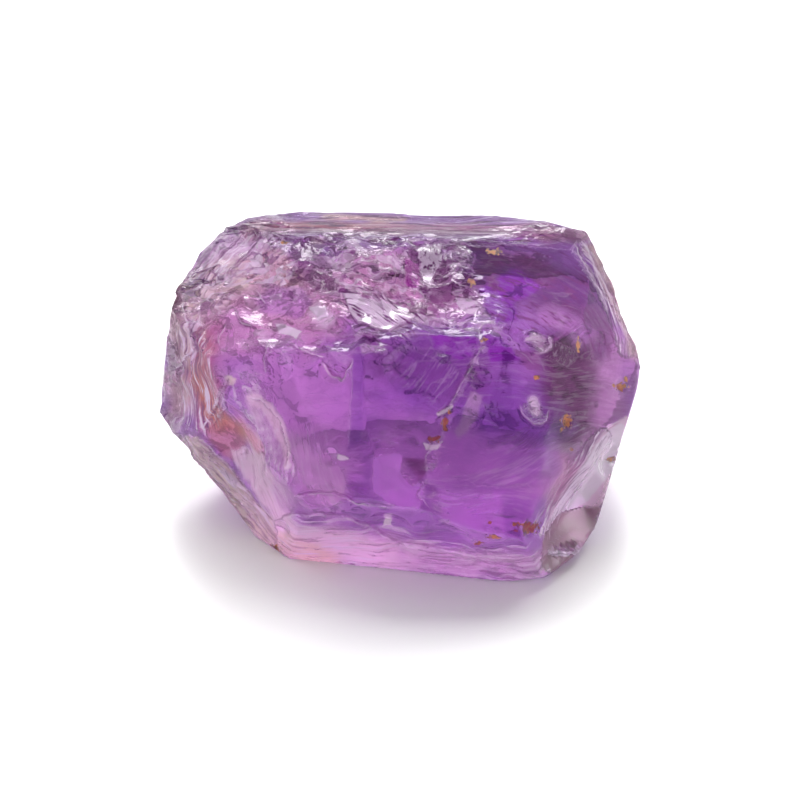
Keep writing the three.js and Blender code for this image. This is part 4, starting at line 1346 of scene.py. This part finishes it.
def tiny_chips():
    """Cells, each a plane tipped its own way: offset·(random - ½), and a random tone."""
    tree, given, result = new_group("tiny_chips", {"Place": "Vector", "Per metre": "Float"},
                                    {"Height": "Float", "Tone": "Float", "Edge": "Float"})
    bend = noise(given["Place"], CHIP_BENDS_PER_METRE, 2).outputs["Color"]
    bent = on_places("MULTIPLY_ADD", bend, (CHIP_BEND,) * 3, given["Place"])[0]
    long = node(tree, "Mapping", {"Vector": bent, "Rotation": CHIP_TURN,
                                  "Scale": CHIP_STRETCH}).outputs[0]
    cell_inputs = {"Vector": long, "Scale": given["Per metre"]}
    cells = node(tree, "TexVoronoi", cell_inputs)
    border = node(tree, "TexVoronoi", cell_inputs, feature="DISTANCE_TO_EDGE")
    offset = on_places("SUBTRACT", long, cells.outputs["Position"])[0]
    tip = on_places("SUBTRACT", cells.outputs["Color"], (0.5, 0.5, 0.5))[0]
    slope = on_places("DOT_PRODUCT", offset, tip)["Value"]
    tone = node(tree, "SeparateColor", {"Color": cells.outputs["Color"]})
    feed(times(slope, CHIP_SLOPE), result["Height"])
    feed(tone.outputs["Blue"], result["Tone"])
    feed(between(border.outputs["Distance"], 0, CHIP_BORDER, 1, 0), result["Edge"])
    return tree


chips_tree = tiny_chips()
print("tiny chips:", len(chips_tree.nodes), "nodes")

# %% [markdown]
# ## Hair lines
# Splinters and healed cracks show as hair-thin lines, pale or dark. Where a stretched noise
# crosses its middle value it does so along thin winding lines, so a narrow range round the middle
# draws them, and a second noise breaks them up.

# %% Hair lines
HAIR_TURN, HAIR_STRETCH = (0.2, 0.45, 0.6), (0.35, 1, 1)
HAIRS_PER_METRE, GAPS_PER_METRE = 330, 260
PALE_HAIR, DARK_HAIR = 0.5, 0.57  # values of the noise along which the lines run
PALE_WIDTH, DARK_WIDTH = (0, 0.016, 1, 0), (0.008, 0.03, 1, 0)
GAPS = (0.45, 0.62, 0, 1)


def hair_lines():
    """Thin lines where a stretched noise crosses its middle, broken up by a second noise."""
    tree, given, result = new_group("hair_lines", {"Place": "Vector"},
                                    {"Lines": "Float", "Dark lines": "Float"})
    long = node(tree, "Mapping", {"Vector": given["Place"], "Rotation": HAIR_TURN,
                                  "Scale": HAIR_STRETCH}).outputs[0]
    waves = noise(long, HAIRS_PER_METRE, Distortion=0.6).outputs["Fac"]
    from_pale = calculate("ABSOLUTE", calculate("SUBTRACT", waves, PALE_HAIR))
    from_dark = calculate("ABSOLUTE", calculate("SUBTRACT", waves, DARK_HAIR))
    gaps = noise(given["Place"], GAPS_PER_METRE, 2).outputs["Fac"]
    feed(times(between(from_pale, *PALE_WIDTH), between(gaps, *GAPS)), result["Lines"])
    feed(between(from_dark, *DARK_WIDTH), result["Dark lines"])
    return tree


hair_tree = hair_lines()
print("hair lines:", len(hair_tree.nodes), "nodes")

# %% [markdown]
# ## Chips and lines pressed into the shading
# A Bump node tips the shading by the tiny chips' heights and by the split lines', each as strong
# as the numbers kept at the corners say.

# %% Bump
CHIPS_PER_METRE = (560, 1500)
LARGE_TONE, SMALL_TONE = 0.6, 0.4
SPLITS_PER_LINE, SPLIT_HEIGHT = 1.6, 0.0002

large, small = (node(tree, "Group", {"Place": place, "Per metre": count}, node_tree=chips_tree)
                for count in CHIPS_PER_METRE)
chip_height = calculate("ADD", large.outputs["Height"], small.outputs["Height"])
chip_tone = times_plus(large.outputs["Tone"], LARGE_TONE, times(small.outputs["Tone"], SMALL_TONE))
split = noise(lines_at, SPLITS_PER_LINE, Roughness=0.6).outputs["Fac"]
height = times_plus(chip_height, chip_contrast, times(times(split, SPLIT_HEIGHT), lines_share))
bump = node(tree, "Bump", {"Height": height, "Distance": 1.0, "Strength": 1.0})
feed(bump.outputs["Normal"], shader.inputs["Normal"])
print("chips to the metre:", CHIPS_PER_METRE)

# %% [markdown]
# ## Chips in the colour
# Some chips get painted shade, dark as where the eye looks through them into the stone, some a
# painted reflection, pale as where they mirror the light, and most a painted highlight on their
# edge. A chip's tone says which it is.

# %% Chips in the colour
# Each range: from, to, and the shares that these two become.
DARK_CHIPS = (0.36, 0.28, 0, 0.7)
PALE_CHIPS = (0.61, 0.69, 0, 0.75)
EDGED_CHIPS = (0.35, 0.6, 0.1, 0.9)
PALE = (*linear(HUES["silver"]), 1)
DARK = (*linear(HUES["dusk"]), 1)


def blend(share, first, second):
    """Two colours mixed by a share."""
    return node(tree_of(share, first, second), "Mix", {0: share, 6: first, 7: second},
                data_type="RGBA").outputs[2]


def laid_over(colour, *layers):
    """A colour with layers laid over it in turn, each a share and a colour."""
    for share, over in layers:
        colour = blend(share, colour, over)
    return colour


# Painted shade on the dark chips, painted reflection on the pale ones, painted highlight on the edges.
dark_chips = times(between(chip_tone, *DARK_CHIPS), chip_contrast)
pale_chips = times(between(chip_tone, *PALE_CHIPS), chip_contrast)
edged = times(large.outputs["Edge"], between(small.outputs["Tone"], *EDGED_CHIPS))
chip_edge_highlight = times(edged, chip_contrast)
colour = laid_over(zone_colour, (dark_chips, DARK), (pale_chips, PALE), (chip_edge_highlight, PALE))
print("tones that show dark:", DARK_CHIPS[:2], "and pale:", PALE_CHIPS[:2])

# %% [markdown]
# ## Crisp panes and lines
# The silver panes, painted reflections, and the darkest panes, painted dark reflections, end at a
# sharp, slightly ragged border, drawn where the kept depth passes zero. Split lines and a few hair
# lines lie over them.

# %% Crisp panes and lines
WOBBLE, WOBBLES_PER_METRE = 0.4, 1500  # millimetres
DARK_PANE = (-0.02, 0.08, 0, 0.35)
SILVER_PANE = (-0.02, 0.06, 0, 0.95)
PALE_LINES = (0.52, 0.62, 0, 0.8)
DARK_LINES = (0.46, 0.38, 0, 0.6)
HAIR_SHARE = 0.1
COATED = (0, 0.8, 0, 1)

ragged = noise(place, WOBBLES_PER_METRE).outputs["Fac"]
wobble = times_plus(ragged, WOBBLE, -WOBBLE / 2)
# The dark panes are painted dark reflections and the silver panes painted reflections of light.
dark_share = between(calculate("ADD", kept(tree, "dark_depth"), wobble), *DARK_PANE)
silver_share = between(calculate("ADD", kept(tree, "silver_depth"), wobble), *SILVER_PANE)
pale_lines = times(between(split, *PALE_LINES), lines_share)
dark_lines = times(between(split, *DARK_LINES), kept(tree, "lines_dark"))
hair = node(tree, "Group", {"Place": place}, node_tree=hair_tree)
colour = laid_over(colour, (dark_share, DARK), (silver_share, PALE), (pale_lines, PALE),
                   (dark_lines, DARK), (times(hair.outputs["Lines"], HAIR_SHARE), PALE))
feed(between(silver_share, *COATED), shader.inputs["Coat Weight"])
print("borders wobble by", WOBBLE, "mm")

# %% [markdown]
# ## Splinters and ledge lines
# On broken ground the same hair lines, made finer, are the splinters. A ledge shows as a thin
# pale line, a painted highlight, with a dark one on its lower side, painted shade.

# %% Splinters and ledge lines
SPLINTER_FINENESS, SPLINTER_SHARE = 2.3, 0.85
LEDGE_WOBBLE = 0.4
SHADE_STARTS, SHADE_ENDS = (0.05, 0.12, 0, 0.7), (0.15, 0.4, 1, 0)
CREST_WIDTH, CREST_BREAKS = (0.03, 0.08, 1, 0), (0.4, 0.58, 0.1, 1)
BREAKS_PER_METRE = 650

finer = node(tree, "VectorMath", {0: place, "Scale": SPLINTER_FINENESS}, operation="SCALE")
splinters = node(tree, "Group", {"Place": finer.outputs[0]}, node_tree=hair_tree).outputs
splinter_share = times(chip_contrast, SPLINTER_SHARE)
line_at = times_plus(wobble, LEDGE_WOBBLE, kept(tree, "ledge_away"))
# Painted shade on the lower side of each ledge, and a painted highlight along its crest.
below = times(between(line_at, *SHADE_STARTS), between(line_at, *SHADE_ENDS))
breaks = noise(place, BREAKS_PER_METRE).outputs["Fac"]
crest = times(between(calculate("ABSOLUTE", line_at), *CREST_WIDTH), between(breaks, *CREST_BREAKS))
colour = laid_over(colour, (times(splinters["Dark lines"], splinter_share), DARK),
                   (times(splinters["Lines"], splinter_share), PALE),
                   (times(below, ledge_light), DARK), (times(crest, ledge_light), PALE))
print("splinters are", SPLINTER_FINENESS, "times as fine as the hair lines")

# %% [markdown]
# ## Rust in the colour
# A speck is ochre or red-brown, as its redness says, with nearly black spots and a dark border.

# %% Rust in the colour
OCHRE, RED_BROWN, IRON_BLACK = ((*linear(screen), 1) for screen in
                                ((228, 155, 50), (140, 42, 10), (45, 25, 20)))
SPECK_RAGGEDNESS, FLECKS_PER_METRE = 3, 2600
SPECK_FILL, SPECK_BORDER = (0.7, 1, 0.95, 0), (0.45, 0.75, 0, 0.6)
BLACK_SPOTS = (0.45, 0.38, 0, 0.9)


def raggedly(value, noise_value):
    """A value with a noise from 0 to 1 added to it: noise · 3 + (value - 1.5)."""
    lowered = calculate("ADD", value, -SPECK_RAGGEDNESS / 2)
    return times_plus(noise_value, SPECK_RAGGEDNESS, lowered)


flecks = noise(place, FLECKS_PER_METRE).outputs["Fac"]
speck_edge = raggedly(kept(tree, "speck_away"), flecks)
redness = between(raggedly(kept(tree, "speck_red"), ragged), 0, 1, 0, 1)
rust = laid_over(OCHRE, (redness, RED_BROWN), (between(ragged, *BLACK_SPOTS), IRON_BLACK),
                 (between(speck_edge, *SPECK_BORDER), IRON_BLACK))
speck_share = between(speck_edge, *SPECK_FILL)
feed(blend(speck_share, colour, rust), shader.inputs["Base Color"])
print("rust colours:", np.round([OCHRE[:3], RED_BROWN[:3]], 2).tolist())

# %% [markdown]
# ## Gloss and frost
# Smooth quartz is as glossy as glass. Frost and split lines roughen it, and rust is dull.

# %% Roughness
GLASSY, FROSTED = 0.05, 0.36
LINE_FROST, RUST_DULLNESS = 0.6, 0.5

frosted = calculate("MAXIMUM", kept(tree, "frost"), times(lines_share, LINE_FROST))
roughness = between(frosted, 0, 1, GLASSY, FROSTED)
feed(times_plus(speck_share, RUST_DULLNESS, roughness), shader.inputs["Roughness"])
print("stone material:", len(tree.nodes), "nodes")

# %% [markdown]
# ## Floor and sky
# A clear stone is seen by what stands around it. Here that is a white floor and a plain sky,
# brighter low down and behind the stone, where light can come through it to the eye.

# %% Floor
FLOOR_HALF, FLOOR_DROP = 1.5, 0.00002  # metres
FLOOR_WHITE, FLOOR_ROUGHNESS = (0.95, 0.95, 0.95, 1), 0.3

square = FLOOR_HALF * np.array([(-1, -1), (1, -1), (1, 1), (-1, 1)])
floor = mesh_object("floor", np.column_stack([square, np.full(4, -FLOOR_DROP)]),
                    np.array([[0, 1, 2], [0, 2, 3]]), shade_smooth=False)
floor_material, floor_shader = plain_material("white_floor")
floor_shader.inputs["Base Color"].default_value = FLOOR_WHITE
floor_shader.inputs["Roughness"].default_value = FLOOR_ROUGHNESS
floor.data.materials.append(floor_material)
print("floor:", 2 * FLOOR_HALF, "m wide")

# %% Sky
TO_LIGHT, UP = (0.25, 0.85, -0.45), (0, 0, 1)
# Each range: the cosine from and to, and the strengths that these two become.
GLOW_BEHIND, GLOW_LOW = (-0.7, 0.7, 0, 0.6), (0, 0.65, 0.27, 0.08)

scene = bpy.context.scene
world = bpy.data.worlds.new("studio")
scene.world = world
world.use_nodes = True
background = world.node_tree.nodes["Background"]
way = node(world.node_tree, "TexCoord").outputs["Generated"]
from_behind = between(on_places("DOT_PRODUCT", way, TO_LIGHT)["Value"], *GLOW_BEHIND)
from_low = between(on_places("DOT_PRODUCT", way, UP)["Value"], *GLOW_LOW)
feed(calculate("ADD", from_behind, from_low), background.inputs["Strength"])
background.inputs["Color"].default_value = (1, 1, 1, 1)
print("sky:", len(world.node_tree.nodes), "nodes")

# %% [markdown]
# ## Softboxes
# The main light stands high behind the stone and shines through it. Three fills soften the
# shadows, a high one lights the left shoulder, and a card that only the gloss can see puts the
# glints on the broken ground. Boxes that would show as white squares are hidden from that view.

# %% Softboxes
# Place in metres, width and height in metres, watts, and the rays that don't see the box.
SOFTBOXES = {
    "softbox_behind": ((0.045, 0.42, 0.44), (0.7, 0.5), 5.2, ["glossy"]),
    "fill_left": ((-0.51, -0.27, 0.12), (0.4, 0.12), 1.6, ["glossy"]),
    "fill_right": ((0.57, -0.1, 0.11), (0.4, 0.12), 2.0, ["glossy"]),
    "fill_front": ((0.05, -0.6, 0.04), (0.5, 0.08), 0.45, ["glossy", "transmission"]),
    "fill_high": ((-0.43, 0.25, 0.5), (0.4, 0.4), 1.05, ["glossy", "transmission"]),
    "glint_card": ((0.0, 0.46, 0.37), (0.3, 0.3), 2.5, ["diffuse", "transmission"]),
}
AIM = (0, 0, 0.01)


def softbox(name, place, size, watts):
    """A rectangular area light at a place in metres, turned to face the stone."""
    lamp = bpy.data.lights.new(name, "AREA")
    lamp.shape = "RECTANGLE"
    lamp.size, lamp.size_y = size
    lamp.energy = watts
    box = bpy.data.objects.new(name, lamp)
    scene.collection.objects.link(box)
    box.location = place
    box.rotation_euler = (Vector(AIM) - Vector(place)).to_track_quat("-Z", "Y").to_euler()
    return box


for name, (stand, size, watts, unseen_by) in SOFTBOXES.items():
    box = softbox(name, stand, size, watts)
    for rays in unseen_by:
        setattr(box, "visible_" + rays, False)
print(len(SOFTBOXES), "softboxes")

# %% [markdown]
# ## Camera
# The camera stands at the eye of the sight plane, level from side to side, with a long lens. The
# stone is clear, so a ray may bend in and out of it many times before it reaches a light.

# %% Camera
LENS, SENSOR = 135, 36  # millimetres
NEAREST = 0.01  # metres
PIXELS, SHIFT_DOWN = 800, 4.5
SIGHT_BOUNCES, THROUGH_BOUNCES, MIRROR_BOUNCES = 16, 14, 8

camera = bpy.data.cameras.new("camera")
camera.lens = LENS
camera.sensor_width = SENSOR
camera.clip_start = NEAREST
camera.shift_y = -SHIFT_DOWN / PIXELS
eye = bpy.data.objects.new("camera", camera)
scene.collection.objects.link(eye)
eye.location = EYE * MM
eye.rotation_euler = (math.pi / 2 - SIGHT_ELEVATION, 0, 0)
scene.camera = eye
scene.view_settings.view_transform = "Standard"
scene.cycles.max_bounces = SIGHT_BOUNCES
scene.cycles.transmission_bounces = THROUGH_BOUNCES
scene.cycles.glossy_bounces = MIRROR_BOUNCES
print("camera", round(SIGHT_DISTANCE), "mm from the stone's middle")
